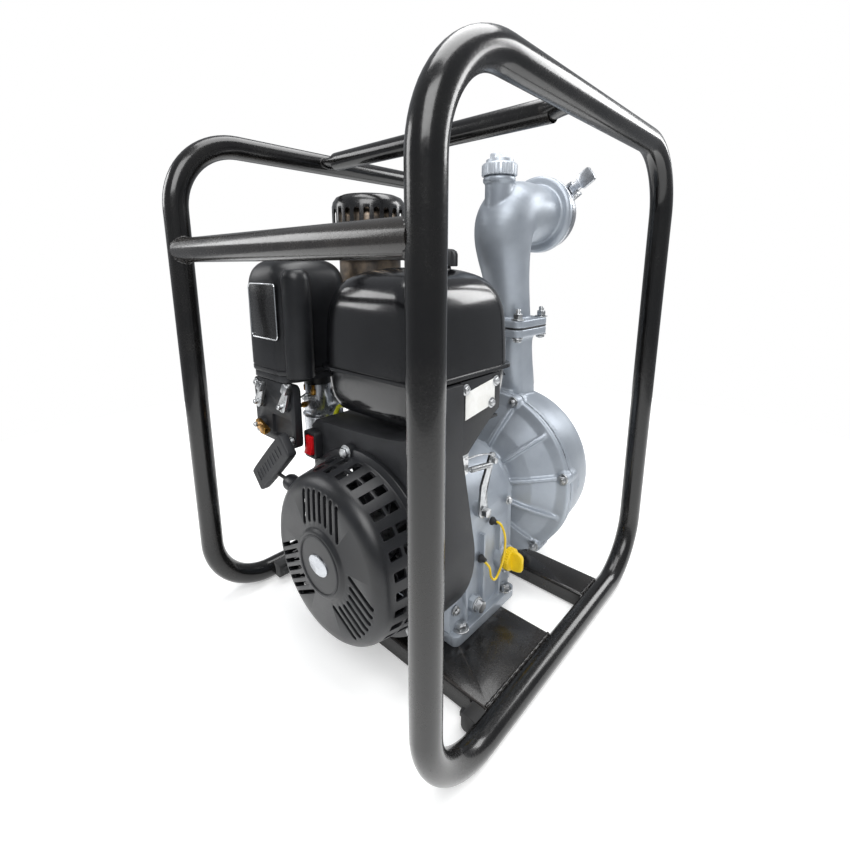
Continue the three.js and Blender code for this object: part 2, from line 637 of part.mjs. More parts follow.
// Sheet cowl down the right-hand side, under the tank's seam, with a shelf over the cylinder.
const COWL_X = TANK_RIGHT - 2;
const COWL_REAR = -18;
function sideCowl() {
  const front = BLOCK_FRONT - 1;
  const panel = new THREE.Shape();
  panel.moveTo(front, 108);
  panel.lineTo(front, TANK_SEAM - GAP - 1);
  panel.lineTo(COWL_REAR, TANK_SEAM - GAP - 1);
  panel.lineTo(COWL_REAR, 148);
  panel.quadraticCurveTo(COWL_REAR - 22, 138, front + 14, 108);
  panel.closePath();
  const side = alongX(panel, COWL_X, COWL_X + SHEET, 5);
  const underTank = TANK_BOTTOM - GAP;
  const shelf = block(TANK_LEFT + 8, COWL_X + 1, front, COWL_REAR, underTank - SHEET, underTank);
  return join(side, shelf);
}

const RECOIL_FACE = FAN_FRONT - RECOIL_DEPTH;
const EARS = [100, 32, -38, 196];

function recoilShell() {
  const wall = RECOIL_WALL;
  const face = RECOIL_FACE;
  return turnedY([
    [0, face - 4], [HUB_DISC_R - 5, face - 4], [HUB_DISC_R, face], [78, face + 1], [90, face + 6],
    [96, face + 14], [102, FAN_FRONT - 8], [RECOIL_R, FAN_FRONT - 6],
    [RECOIL_R, FAN_FRONT], [102 - wall, FAN_FRONT], [96 - wall, face + 14], [77, face + 1 + wall],
    [HUB_DISC_R, face + wall], [HUB_DISC_R - 6, face - 4 + wall], [0, face - 4 + wall]], 36);
}

// Parallel louvres of one sector, each as long as the annulus between hub and shoulder lets it be.
function louvreSector(degrees) {
  const inner = HUB_DISC_R + 6;
  const outer = 84;
  const slots = [];
  for (let offset = -3 * LOUVRE_PITCH; offset <= 3 * LOUVRE_PITCH; offset += LOUVRE_PITCH) {
    const reach = Math.abs(offset) + LOUVRE_WIDTH / 2;
    const start = Math.sqrt(Math.max(inner ** 2 - reach ** 2, 30 ** 2));
    const end = Math.sqrt(outer ** 2 - reach ** 2);
    slots.push(block(start, end, RECOIL_FACE - 6, RECOIL_FACE + 12,
      offset - LOUVRE_WIDTH / 2, offset + LOUVRE_WIDTH / 2));
  }
  return slots.map(slot => turnedCopy(slot, degrees));
}

// The rope runs off the top of the pulley's groove and out through a guide.
const pullLine = body => turnedCopy(
  body.translate([0, RECOIL_FACE + 21, -ROPE_OFFSET]), PULL_ANGLE);
const GUIDE_ANGLE = PULL_ANGLE - 31;

function recoilHousing() {
  const ears = EARS.map(degrees => turnedCopy(join(
    rodY(9, FAN_FRONT - 9, FAN_FRONT, 10).translate([RECOIL_R - 3, 0, 0]),
    rodY(6.5, FAN_FRONT - 14, FAN_FRONT - 8, 6).translate([RECOIL_R - 3, 0, 0])), degrees));
  const guide = pullLine(rodX(9, 78, 98, 16));
  const ropeHole = pullLine(rodX(ROPE_R + 1, 60, 104, 12));
  const slot = block(84, RECOIL_R + 4, RECOIL_FACE + 18, FAN_FRONT - 13, -4.4, 4.4);
  const clearOfGuide = i => Math.abs(i * (360 / SIDE_SLOTS) - GUIDE_ANGLE) > 10;
  const sideSlots = Array.from({ length: SIDE_SLOTS }, (_, i) => i).filter(clearOfGuide)
    .map(i => turnedCopy(slot, (360 * i) / SIDE_SLOTS));
  const louvres = [90, 210, 330].flatMap(louvreSector);
  return cut(join(recoilShell(), ...ears, guide), ...sideSlots, ...louvres, ropeHole);
}

function recoilPulley() {
  const front = RECOIL_FACE + 12;
  const groove = front + 9;
  return turnedY([[8, front], [PULLEY_R, front], [PULLEY_R, front + 3], [PULLEY_R - 9, groove - 3],
    [PULLEY_R - 9, groove + 3], [PULLEY_R, front + 15], [PULLEY_R, front + 18],
    [30, front + 18], [26, front + 22], [8, front + 22]], 36);
}

function starterRope() {
  return pullLine(rodX(ROPE_R, ROPE_IN, GRIP_AT + 3, 10));
}
function pullGrip() {
  const rows = [[-GRIP_LENGTH / 2, 5], [-GRIP_LENGTH / 2 + 3, 1], [0, 0], [GRIP_LENGTH / 2 - 3, 1],
    [GRIP_LENGTH / 2, 5]].map(([z, inset]) => [z, inset, GRIP_WIDTH - inset,
    -GRIP_THICK / 2 + inset / 3, GRIP_THICK / 2 - inset / 3, 3]);
  const bar = roundedLoft(rows).rotate([0, GRIP_TILT, 0]).translate([GRIP_AT - 1, 0, 0]);
  const hole = rodX(ROPE_R + 0.6, GRIP_AT - 20, GRIP_AT + 3 + GAP, 12);
  return pullLine(cut(bar, hole));
}

place(machine, 'flywheel', flywheel(), darkIron);
place(machine, 'starter_cup', starterCup(), brightSteel);
place(machine, 'blower_housing', blowerHousing(), mattePlastic);
place(machine, 'side_cowl', sideCowl(), mattePlastic);
place(machine, 'recoil_housing', recoilHousing(), glossPlastic);
place(machine, 'recoil_pulley', recoilPulley(), mattePlastic);
place(machine, 'starter_rope', starterRope(), blackRubber);
place(machine, 'pull_grip', pullGrip(), mattePlastic);

// ---- Fuel tank ----------------------------------------------------------------------------
// Levels of the tank: height, how far each side draws in, and the corner radius.
const TANK_LEVELS = [
  [TANK_BOTTOM, 24, 30], [TANK_BOTTOM + 6, 12, 34], [TANK_BOTTOM + 20, 6, 34], [TANK_SEAM, 5, 32],
  [TANK_SEAM + 0.5, 0, 28], [TANK_SEAM + 4, 0, 28], [TANK_SEAM + 4.5, 3, 30], [TANK_TOP - 46, 6, 34],
  [TANK_TOP - 22, 13, 38], [TANK_TOP - 8, 27, 40], [TANK_TOP - 2, 42, 38], [TANK_TOP, 58, 28],
];

function tankBody(inset) {
  const rows = inset > 0 ? TANK_LEVELS.filter(([, draw]) => draw > 4) : TANK_LEVELS;
  return roundedLoft(rows.map(([z, draw, radius], i) => {
    const level = i === 0 ? z + inset : i === rows.length - 1 ? z - inset : z;
    return [level, TANK_LEFT + draw, TANK_RIGHT - draw, TANK_FRONT + draw, TANK_REAR - draw, radius];
  }), inset);
}

function fuelTank() {
  const neck = rodZ(21, TANK_TOP - 6, TANK_TOP + 8, 28).translate([CAP_X, CAP_Y, 0]);
  const filler = rodZ(17, TANK_TOP - 10, TANK_TOP + 9, 28).translate([CAP_X, CAP_Y, 0]);
  return cut(join(tankBody(0), neck), tankBody(TANK_WALL), filler);
}

function fuelCap() {
  const seat = TANK_TOP + 1 + GAP;
  const inside = TANK_TOP + 8 + GAP;
  const body = upright(turnedY([[21 + GAP, seat], [FUEL_CAP_R, seat], [FUEL_CAP_R, seat + 16],
    [FUEL_CAP_R - 4, seat + 20], [0, seat + 21], [0, inside], [21 + GAP, inside]], 36));
  const flute = rodZ(4, seat - 1, seat + 15, 6).translate([FUEL_CAP_R + 1.5, 0, 0]);
  const flutes = Array.from({ length: 12 }, (_, i) => flute.rotate([0, 0, 30 * i]));
  return cut(body, ...flutes).translate([CAP_X, CAP_Y, 0]);
}

place(machine, 'fuel_tank', fuelTank(), glossPlastic);
place(machine, 'fuel_cap', fuelCap(), mattePlastic);

// ---- Air cleaner, carburettor and controls ------------------------------------------------
const COLUMN_R = 17;
const CLEANER_LEVELS = [[0, 2], [3, 0], [100, 0], [124, 2], [134, 7], [139, 14], [140, 22]];

function cleanerForm(inset) {
  const bottom = CLEANER_BOTTOM;
  const rows = CLEANER_LEVELS.map(([h, draw], i) => {
    const last = i === CLEANER_LEVELS.length - 1;
    const level = bottom + h - (last ? inset : 0) - (i === 0 ? inset * 2 : 0);
    return [level, CLEANER_LEFT + draw, CLEANER_RIGHT - draw, CLEANER_FRONT + draw,
      CLEANER_REAR - draw, 24];
  });
  return roundedLoft(rows, inset);
}

function cleanerCover() {
  const x = CLEANER_RIGHT + 4;
  const y = CLEANER_FRONT + COLUMN_R;
  const top = CLEANER_TOP - 12;
  const column = upright(turnedY([[0, CLEANER_BOTTOM], [COLUMN_R, CLEANER_BOTTOM],
    [COLUMN_R, top - 10], [COLUMN_R - 5, top - 2], [COLUMN_R - 11, top], [0, top]], 24))
    .translate([x, y, 0]);
  return cut(join(cleanerForm(0), column), cleanerForm(CLEANER_WALL));
}

function cleanerBase() {
  const top = CLEANER_BOTTOM - GAP;
  const tray = alongZ(roundRect(CLEANER_LEFT + 2, CLEANER_FRONT + 2, CLEANER_RIGHT - 2,
    CLEANER_REAR - 2, 22), top - 8, top, 4);
  const duct = rodZ(18, top - 20, top - 6, 24).translate([CARB_X, CARB_Y, 0]);
  const passage = rodZ(13, top - 21, top + 1, 24).translate([CARB_X, CARB_Y, 0]);
  return cut(join(tray, duct), passage);
}

function filterElement() {
  const z0 = CLEANER_BOTTOM + 4;
  const border = inset => roundRect(CLEANER_LEFT + inset, CLEANER_FRONT + inset + 4,
    CLEANER_RIGHT - inset, CLEANER_REAR - inset, 22 - inset / 2);
  const slab = border(14);
  slab.holes.push(border(30));
  return alongZ(slab, z0, z0 + 84, 3);
}

function carburettor() {
  const top = CLEANER_BOTTOM - 20 - 2 * GAP;
  const riser = rodZ(17, CARB_Z - 4, top, 24);
  const barrel = rodY(16, -14, FIN_Y / 2 - 26, 24).translate([0, 0, CARB_Z]);
  const bowl = upright(turnedY([[0, CARB_Z - 42], [14, CARB_Z - 42], [19, CARB_Z - 37],
    [20, CARB_Z - 16], [22, CARB_Z - 15], [22, CARB_Z - 11], [0, CARB_Z - 11]], 24));
  const pad = block(-22, 22, 18, 24, CARB_Z - 18, CARB_Z + 18);
  const drain = rodZ(4, CARB_Z - 48, CARB_Z - 40, 8);
  return join(riser, barrel, bowl, pad, drain).translate([CARB_X, CARB_Y, 0]);
}

const PANEL_FRONT = -176;
const PANEL_BACK = -162;
const PANEL_LEFT = -196;
const PANEL_RIGHT = -102;
const PANEL_LOW = 88;
const PANEL_HIGH = 168;
const CHOKE = [-176, 138];
const THROTTLE = [-118, 142];
const VALVE = [-180, 106];

function controlPanel() {
  const shape = roundRect(PANEL_LEFT, PANEL_LOW, PANEL_RIGHT, PANEL_HIGH, 8);
  const body = alongY(shape, PANEL_FRONT + 4, PANEL_BACK, 3);
  const bosses = [CHOKE, THROTTLE, VALVE].map(([x, z]) =>
    rodY(9, PANEL_FRONT, PANEL_FRONT + 6, 18).translate([x, 0, z]));
  const recess = alongY(roundRect(PANEL_LEFT + 40, PANEL_LOW + 8, PANEL_RIGHT - 8, PANEL_LOW + 36, 4),
    PANEL_FRONT, PANEL_FRONT + 8, 3);
  const bores = [CHOKE, THROTTLE, VALVE].map(([x, z]) =>
    rodY(3 + GAP, PANEL_FRONT - 2, PANEL_BACK + 2, 12).translate([x, 0, z]));
  return cut(join(body, ...bosses), recess, ...bores);
}

// Flat lever on a spindle through the control panel: a tapered arm with a thumb pad.
function panelLever([x, z], length, degrees, width) {
  const arm = new THREE.Shape();
  arm.absarc(0, 0, width * 0.7, HALF_PI, 1.5 * Math.PI);
  arm.lineTo(length, -width / 3);
  arm.absarc(length, 0, width / 3, -HALF_PI, HALF_PI);
  arm.closePath();
  const front = PANEL_FRONT - GAP;
  const blade = alongY(arm, front - 3.5, front, 5);
  const thumb = alongY(roundRect(length - 10, -width * 0.45, length + 3, width * 0.45, 2),
    front - 8, front - 3, 3);
  const spindle = rodY(3, front - 1, PANEL_BACK + 1, 12);
  return turnedCopy(join(blade, thumb, spindle), degrees).translate([x, 0, z]);
}

const SWITCH_X = -88;
const SWITCH_Z = 96;
function switchBody() {
  const frameShape = roundRect(SWITCH_X - 12, SWITCH_Z - 17, SWITCH_X + 12, SWITCH_Z + 17, 4);
  const hole = alongY(roundRect(SWITCH_X - 8, SWITCH_Z - 13, SWITCH_X + 8, SWITCH_Z + 13, 2),
    FAN_FRONT - 12, FAN_FRONT - 1, 3);
  return cut(alongY(frameShape, FAN_FRONT - 10, FAN_FRONT, 3), hole);
}
function switchRocker() {
  const shape = new THREE.Shape();
  const y = FAN_FRONT - 8;
  shape.moveTo(y + 4.5, SWITCH_Z - 4);
  shape.lineTo(y + 3.5, SWITCH_Z - 11.5);
  shape.lineTo(y - 7, SWITCH_Z - 11);
  shape.lineTo(y - 3.5, SWITCH_Z);
  shape.lineTo(y - 3.5, SWITCH_Z + 11);
  shape.lineTo(y + 1, SWITCH_Z + 11.5);
  shape.lineTo(y + 4.5, SWITCH_Z + 4);
  shape.closePath();
  return alongX(shape, SWITCH_X - 7, SWITCH_X + 7);
}

// Fuel hose from the tank's underside down to the carburettor.
function fuelHose() {
  return softTube([[-62, -98, TANK_BOTTOM - 3.6], [-70, -100, TANK_BOTTOM - 7],
    [-98, -106, TANK_BOTTOM - 9], [-105, -110, 118], [CARB_X + 26, CARB_Y, 106],
    [CARB_X + 21, CARB_Y, 105]], 3.2, 8, 12);
}

place(machine, 'air_cleaner_cover', cleanerCover(), glossPlastic);
place(machine, 'air_cleaner_base', cleanerBase(), mattePlastic);
place(machine, 'filter_element', filterElement(), foam);
place(machine, 'carburettor', carburettor(), machinedAluminium);
place(machine, 'control_panel', controlPanel(), mattePlastic);
place(machine, 'choke_lever', panelLever(CHOKE, 30, 60, 11), brightSteel);
place(machine, 'throttle_lever', panelLever(THROTTLE, 32, 60, 11), brightSteel);
place(machine, 'fuel_valve_lever', panelLever(VALVE, 22, -10, 10), brass);
place(machine, 'switch_body', switchBody(), mattePlastic);
place(machine, 'engine_switch', switchRocker(), redPlastic);

// ---- Muffler ------------------------------------------------------------------------------
function muffler() {
  const can = upright(turnedY([[0, MUFFLER_BOTTOM], [MUFFLER_R - 6, MUFFLER_BOTTOM],
    [MUFFLER_R, MUFFLER_BOTTOM + 6], [MUFFLER_R, MUFFLER_BEAD], [MUFFLER_R + 2, MUFFLER_BEAD + 2],
    [MUFFLER_R + 2, MUFFLER_BEAD + 6], [MUFFLER_R, MUFFLER_BEAD + 8], [MUFFLER_R, MUFFLER_TOP - 10],
    [MUFFLER_R - 8, MUFFLER_TOP], [0, MUFFLER_TOP]], 32)).translate([MUFFLER_X, MUFFLER_Y, 0]);
  const outlet = rodX(11, -26, 26, 18).rotate([0, 0, 90])
    .translate([MUFFLER_X, MUFFLER_Y + MUFFLER_R, MUFFLER_BOTTOM + 38]);
  const pipe = rodZ(13, 126, MUFFLER_BOTTOM + 4, 18).translate([MUFFLER_X + 24, MUFFLER_Y + 10, 0]);
  return join(can, outlet, pipe);
}

// Pressed guard over the muffler's top: a slotted skirt under a shallow lid with a raised eye.
function mufflerGuard() {
  const low = MUFFLER_TOP - 70;
  const lid = MUFFLER_TOP + 18;
  const shell = upright(turnedY([[GUARD_R, low], [GUARD_R, lid - 12], [GUARD_R - 5, lid - 3],
    [GUARD_R - 16, lid], [15, lid], [12, lid - 5], [8, lid - 5], [8, lid - 7], [13.5, lid - 7],
    [16.5, lid - 2], [GUARD_R - 17, lid - 2], [GUARD_R - 7, lid - 5], [GUARD_R - 2, lid - 13],
    [GUARD_R - 2, low]], 32));
  const slot = block(GUARD_R - 7, GUARD_R + 4, -4.2, 4.2, low + 10, lid - 14);
  const slots = Array.from({ length: GUARD_SLOTS }, (_, i) =>
    slot.rotate([0, 0, (360 * (i + 0.5)) / GUARD_SLOTS]));
  return cut(shell, ...slots).translate([MUFFLER_X, MUFFLER_Y, 0]);
}

place(machine, 'muffler', muffler(), darkIron);
place(machine, 'muffler_guard', mufflerGuard(), blackSteel);

// ---- Engine's right-hand side: governor, oil filler and drain -----------------------------
const LEVER_PIVOT = [-34, 18];   // y, z
function governorLever() {
  const arm = new THREE.Shape();
  const [y, z] = LEVER_PIVOT;
  arm.absarc(y, z, 9, Math.PI, 2 * Math.PI);
  arm.lineTo(y + 6, z + 30);
  arm.lineTo(y + 22, z + 62);
  arm.absarc(y + 16, z + 65, 6.5, -0.2, Math.PI - 0.2);
  arm.lineTo(y - 6, z + 34);
  arm.closePath();
  const x0 = SUMP_HALF + 2 + GAP;
  const plate = alongX(arm, x0, x0 + 3.5, 5);
  const clamp = rodX(6.5, x0, x0 + 11, 6).translate([0, y, z]);
  const stud = rodX(4, x0, x0 + 9, 12).translate([0, y + 16, z + 62]);
  return join(plate, clamp, stud);
}

function oilLead() {
  const x = SUMP_HALF + 10;
  return softTube([[SUMP_HALF + 0.5, -8, -8], [x + 4, -8, -8], [x + 9, -4, -28], [x + 8, -6, -58],
    [x + 5, -16, -80], [x + 5, -27, -72], [x + 4, -31, -56], [SUMP_HALF + 0.5, -31, -50]], 1.6, 8, 26);
}

function oilDipstick() {
  const x0 = SUMP_HALF + 9 + GAP;
  const cap = rodX(15, x0, x0 + 9, 24).translate([0, 18, -70]);
  const wing = alongZ(roundRect(x0 + 6, -4, x0 + 24, 4, 3.5), -15, 15, 3).translate([0, 18, -70]);
  return join(cap, wing);
}

function oilDrainPlug() {
  const x0 = SUMP_HALF + 6 + GAP;
  const washer = rodX(9.5, x0, x0 + 2, 20);
  const head = rodX(8, x0 + 1, x0 + 9, 6);
  return join(washer, head).translate([0, -44, -106]);
}

place(machine, 'governor_lever', governorLever(), brightSteel);
place(machine, 'oil_sensor_lead', oilLead(), yellowPlastic);
place(machine, 'oil_dipstick', oilDipstick(), yellowPlastic);
place(machine, 'oil_drain_plug', oilDrainPlug(), brightSteel);

// ---- Pump ---------------------------------------------------------------------------------
const boltCircle = CASING_R - 4;
function pumpAdapter() {
  const y0 = BLOCK_REAR + COVER_DEPTH + GAP;
  const face = CASING_FRONT - 2;
  const dish = turnedY([[SHAFT_R + 8, y0], [ADAPTER_HUB_R, y0], [ADAPTER_HUB_R + 4, y0 + 10],
    [CASING_R - 16, face - RIM_T - 4], [CASING_R, face - RIM_T], [CASING_R, face],
    [CASING_R - 12, face], [70, y0 + 24], [SHAFT_R + 8, y0 + 24]], 36);
  const web = new THREE.Shape();
  web.moveTo(ADAPTER_HUB_R - 6, y0 + 3);
  web.lineTo(ADAPTER_HUB_R, y0 + 1);
  web.quadraticCurveTo(90, y0 + 14, CASING_R - 6, face - RIM_T + 1);
  web.lineTo(ADAPTER_HUB_R - 6, face - 16);
  web.closePath();
  const rib = solid(extrude(web, 5, 3).translate(0, 0, -2.5));
  const lug = rodY(8.5, face - RIM_T - 6, face, 10).translate([boltCircle, 0, 0]);
  const head = rodY(6, face - RIM_T - 11, face - RIM_T - 5, 6).translate([boltCircle, 0, 0]);
  return join(dish, ...aroundY(rib, RIM_BOLTS, 12), ...aroundY(join(lug, head), RIM_BOLTS, 12));
}

function casingBowl(inset) {
  const radius = CASING_R - inset;
  const rear = CASING_REAR - inset;
  return turnedY([[0, CASING_FRONT - inset], [radius - 6, CASING_FRONT - inset], [radius - 7, 150],
    [radius - 10, CASING_REAR - 24], [radius - 18, rear - 10], [radius - 32, rear - 3],
    [70, rear], [0, rear]], 36);
}

function pumpCasing() {
  const rim = rodY(CASING_R, CASING_FRONT, CASING_FRONT + RIM_T, 36);
  const lugs = aroundY(rodY(8.5, CASING_FRONT, CASING_FRONT + RIM_T + 5, 10)
    .translate([boltCircle, 0, 0]), RIM_BOLTS, 12);
  const duct = roundedLoft([[70, -30, 30, 124, 186, 14], [DUCT_TOP - 26, -30, 30, 112, 172, 16],
    [DUCT_TOP - 12, -34, 34, DUCT_Y - 34, DUCT_Y + 34, 14]]);
  const flange = alongZ(roundRect(-DUCT_HALF, DUCT_Y - DUCT_HALF, DUCT_HALF, DUCT_Y + DUCT_HALF, 12),
    DUCT_TOP - 12, DUCT_TOP, 4);
  const bore = rodZ(DUCT_BORE_R, 60, DUCT_TOP + 1, 28).translate([0, DUCT_Y, 0]);
  const port = rodY(PORT_BORE_R, CASING_REAR - 20, CASING_REAR + 1, 32);
  const saddle = alongY(roundRect(-34, FOOT, 34, -CASING_R + 24, 6),
    CASING_FRONT + 2, CASING_FRONT + 34, 3);
  const studs = [-1, 1].map(side => join(
    rodZ(6, DUCT_TOP - 20, DUCT_TOP - 11, 6).translate([side * 33, DUCT_Y - 33, 0]),
    rodZ(6, DUCT_TOP - 20, DUCT_TOP - 11, 6).translate([side * 33, DUCT_Y + 33, 0])));
  const mouth = rodY(CASING_R - 12, CASING_FRONT - 4, CASING_FRONT + 10, 36);
  const cavity = join(casingBowl(CASING_WALL), mouth);
  const drainBoss = rodZ(12, -CASING_R - 3, -CASING_R + 22, 16)
    .rotate([0, -DRAIN_LEAN, 0]).translate([0, DRAIN_Y, 0]);
  const body = join(casingBowl(0), rim, ...lugs, duct, flange, saddle, ...studs, drainBoss);
  const sump = rodY(SHAFT_R, CASING_FRONT - 2, CASING_FRONT + 4);
  return cut(body, cavity, bore, port, sump);
}

// Spiral collector: the wall runs away from the impeller by a constant amount each turn.
function spiral(start, growth, steps) {
  return Array.from({ length: steps + 1 }, (_, i) => {
    const share = i / steps;
    const angle = HALF_PI + 0.35 + share * (2 * Math.PI - 0.5);
    const radius = start + growth * share;
    return new THREE.Vector2(radius * Math.cos(angle), radius * Math.sin(angle));
  });
}

function volute() {
  const inner = spiral(IMPELLER_R + 3, 26, 36);
  const outer = spiral(IMPELLER_R + 8, 27, 36).reverse();
  const front = IMPELLER_FRONT - 4;
  const wall = alongY(new THREE.Shape([...inner, ...outer]), front, front + VOLUTE_W);
  const back = turnedY([[30, 0], [IMPELLER_R + 6, 0], [IMPELLER_R + 6, 4], [30, 4]], 40)
    .translate([0, IMPELLER_FRONT - 6 + VOLUTE_W, 0]);
  return join(wall, back);
}

// Open impeller: back shroud, hub and backward-curved vanes.
function impeller() {
  const front = IMPELLER_FRONT;
  const hub = turnedY([[SHAFT_R + GAP, front], [IMPELLER_R, front], [IMPELLER_R, front + 4],
    [24, front + 7], [18, front + IMPELLER_W], [SHAFT_R + GAP, front + IMPELLER_W]], 40);
  const vane = new THREE.Shape();
  vane.moveTo(17, 0);
  vane.bezierCurveTo(26, 14, 44, 20, IMPELLER_R - 1, 12);
  vane.lineTo(IMPELLER_R - 2, 16);
  vane.bezierCurveTo(42, 25, 24, 19, 15, 5);
  vane.closePath();
  return join(hub, ...aroundY(alongY(vane, front + 2, front + IMPELLER_W - 2, 6), VANES));
}

function shaftSeal() {
  const y0 = CASING_FRONT - 20;
  return turnedY([[SHAFT_R + GAP, y0], [19, y0], [19, y0 + 6], [23, y0 + 8], [23, y0 + 16],
    [SHAFT_R + GAP, y0 + 16]], 28);
}

const GASKET_T = 1.4;
function casingGasket() {
  const y0 = CASING_FRONT - 2 + GAP;
  const y1 = y0 + GASKET_T;
  return turnedY([[CASING_R - 11, y0], [CASING_R - 1, y0], [CASING_R - 1, y1], [CASING_R - 11, y1]], 48);
}

const PORT_FLANGE = 50;
function suctionPort() {
  const y0 = CASING_REAR + GAP;
  const square = roundRect(-PORT_FLANGE, -PORT_FLANGE, PORT_FLANGE, PORT_FLANGE, 14);
  const plate = alongY(square, y0, y0 + 10, 4);
  const nozzle = turnedY([[PORT_BORE_R, y0], [SUCTION_R + 6, y0], [SUCTION_R + 6, y0 + 14],
    [SUCTION_R + 1, y0 + 16], [SUCTION_R + 1, y0 + 20], [SUCTION_R + 3, y0 + 22],
    [SUCTION_R + 1, y0 + 24], [SUCTION_R + 3, y0 + 27], [SUCTION_R + 1, y0 + 29],
    [SUCTION_R + 3, y0 + 32], [SUCTION_R, y0 + 36], [PORT_BORE_R, y0 + 36]], 36);
  const bolts = [-1, 1].flatMap(a => [-1, 1].map(b =>
    rodY(6.5, y0 + 9, y0 + 15, 6).translate([a * (PORT_FLANGE - 13), 0, b * (PORT_FLANGE - 13)])));
  return cut(join(plate, nozzle, ...bolts), rodY(PORT_BORE_R, y0 - 1, y0 + 40, 36));
}

// Rubber check flap that hangs inside the suction port from a strip hinge at the top.
const FLAP_REAR = CASING_REAR - CASING_WALL - GAP;
const FLAP_HINGE_Z = PORT_BORE_R + 6;
function suctionFlap() {
  const y1 = FLAP_REAR;
  const leaf = rodY(PORT_BORE_R + 4, y1 - 4, y1, 28);
  const tab = block(-14, 14, y1 - 4, y1, PORT_BORE_R - 4, FLAP_HINGE_Z + 3);
  const weight = rodY(18, y1 - 9, y1 - 3, 20);
  return join(leaf, tab, weight);
}

function dischargeGasket() {
  const z0 = DUCT_TOP + GAP;
  const sheet = roundRect(-DUCT_HALF, DUCT_Y - DUCT_HALF, DUCT_HALF, DUCT_Y + DUCT_HALF, 12);
  const hole = rodZ(DUCT_BORE_R, z0 - 1, z0 + 3, 28).translate([0, DUCT_Y, 0]);
  return cut(alongZ(sheet, z0, z0 + GASKET_T, 4), hole);
}

// Cast elbow: round sections swept up from the flange, over and out towards the hose.
const ELBOW_SEAT = DUCT_TOP + 2;
const ELBOW_STATIONS = [
  // y, z, tilt of the section in degrees, radius
  [DUCT_Y - 4, ELBOW_SEAT + 8, 4, 31], [DUCT_Y - 12, ELBOW_SEAT + 52, 10, 31.5],
  [DUCT_Y - 22, ELBOW_SEAT + 92, 10, 35], [DUCT_Y - 29, ELBOW_SEAT + 118, 0, 39],
  [DUCT_Y - 26, ELBOW_SEAT + 140, -22, 41], [DUCT_Y - 12, ELBOW_SEAT + 156, -50, 42],
  [DUCT_Y + 12, OUTLET_Z, -84, 42], [OUTLET_FACE - 34, OUTLET_Z, -90, 42],
  [OUTLET_FACE - 14, OUTLET_Z, -90, 44], [OUTLET_FACE, OUTLET_Z, -90, 44],
];

function elbowSkin(shrink, extend) {
  const sides = 16;
  const last = ELBOW_STATIONS.length - 1;
  const vertices = ELBOW_STATIONS.flatMap(([y, z, tilt, radius], s) => {
    const angle = THREE.MathUtils.degToRad(tilt);
    const along = s === 0 ? -extend : s === last ? extend : 0;
    const cy = y - along * Math.sin(angle);
    const cz = z + along * Math.cos(angle);
    return ring(radius - shrink, sides).flatMap(p =>
      [p.x, cy + p.y * Math.cos(angle), cz + p.y * Math.sin(angle)]);
  });
  const index = [];
  for (let s = 0; s < last; s++) {
    for (let i = 0; i < sides; i++) {
      const a = s * sides + i;
      const b = s * sides + ((i + 1) % sides);
      index.push(a, b, b + sides, a, b + sides, a + sides);
    }
  }
  for (let i = 1; i < sides - 1; i++) {
    index.push(0, i + 1, i);
    index.push(last * sides, last * sides + i, last * sides + i + 1);
  }
  const geometry = new THREE.BufferGeometry();
  geometry.setAttribute('position', new THREE.Float32BufferAttribute(vertices, 3));
  geometry.setIndex(index);
  return solid(geometry);
}

function dischargeElbow() {
  const foot = alongZ(roundRect(-DUCT_HALF, DUCT_Y - DUCT_HALF, DUCT_HALF, DUCT_Y + DUCT_HALF, 12),
    ELBOW_SEAT, ELBOW_SEAT + 11, 4);
  const flange = turnedY([[OUTLET_BORE_R, OUTLET_FACE - 12], [OUTLET_R - 3, OUTLET_FACE - 12],
    [OUTLET_R, OUTLET_FACE - 9], [OUTLET_R, OUTLET_FACE], [OUTLET_BORE_R, OUTLET_FACE]], 40)
    .translate([0, 0, OUTLET_Z]);
  const filler = rodZ(FILLER_R, OUTLET_Z - 20, OUTLET_Z + 56, 24).translate([0, FILLER_Y, 0]);
  const fillerBore = rodZ(FILLER_R - 5, OUTLET_Z - 10, OUTLET_Z + 57, 20).translate([0, FILLER_Y, 0]);
  const gusset = block(-4, 4, FILLER_Y, FILLER_Y + 40, OUTLET_Z + 20, OUTLET_Z + 41);
  const nuts = [-1, 1].flatMap(a => [-1, 1].map(b =>
    rodZ(7, ELBOW_SEAT + 10, ELBOW_SEAT + 18, 6).translate([a * 33, DUCT_Y + b * 33, 0])));
  const studs = [-1, 1].flatMap(a => [-1, 1].map(b =>
    rodZ(4, ELBOW_SEAT + 12, ELBOW_SEAT + 25, 10).translate([a * 33, DUCT_Y + b * 33, 0])));
  const outside = join(elbowSkin(0, 0), foot, flange, filler, gusset, ...nuts, ...studs);
  const lowBore = rodZ(DUCT_BORE_R, ELBOW_SEAT - 1, ELBOW_SEAT + 14, 28).translate([0, DUCT_Y, 0]);
  const outletBore = rodY(OUTLET_BORE_R, OUTLET_FACE - 20, OUTLET_FACE + 1, 36)
    .translate([0, 0, OUTLET_Z]);
  return cut(outside, elbowSkin(ELBOW_WALL, 6), lowBore, outletBore, fillerBore);
}

function primingCap() {
  const z0 = OUTLET_Z + 56 + GAP;
  const skirt = upright(turnedY([[FILLER_R + 1, z0 - 14], [FILLER_R + 5, z0 - 14], [FILLER_R + 5, z0],
    [FILLER_R - 1, z0 + 3], [FILLER_R - 2, z0 + 13], [0, z0 + 13], [0, z0], [FILLER_R + 1, z0]], 28));
  const bar = block(-FILLER_R + 1, FILLER_R - 1, -3, 3, z0 + 2, z0 + 13);
  return join(skirt, bar).translate([0, FILLER_Y, 0]);
}

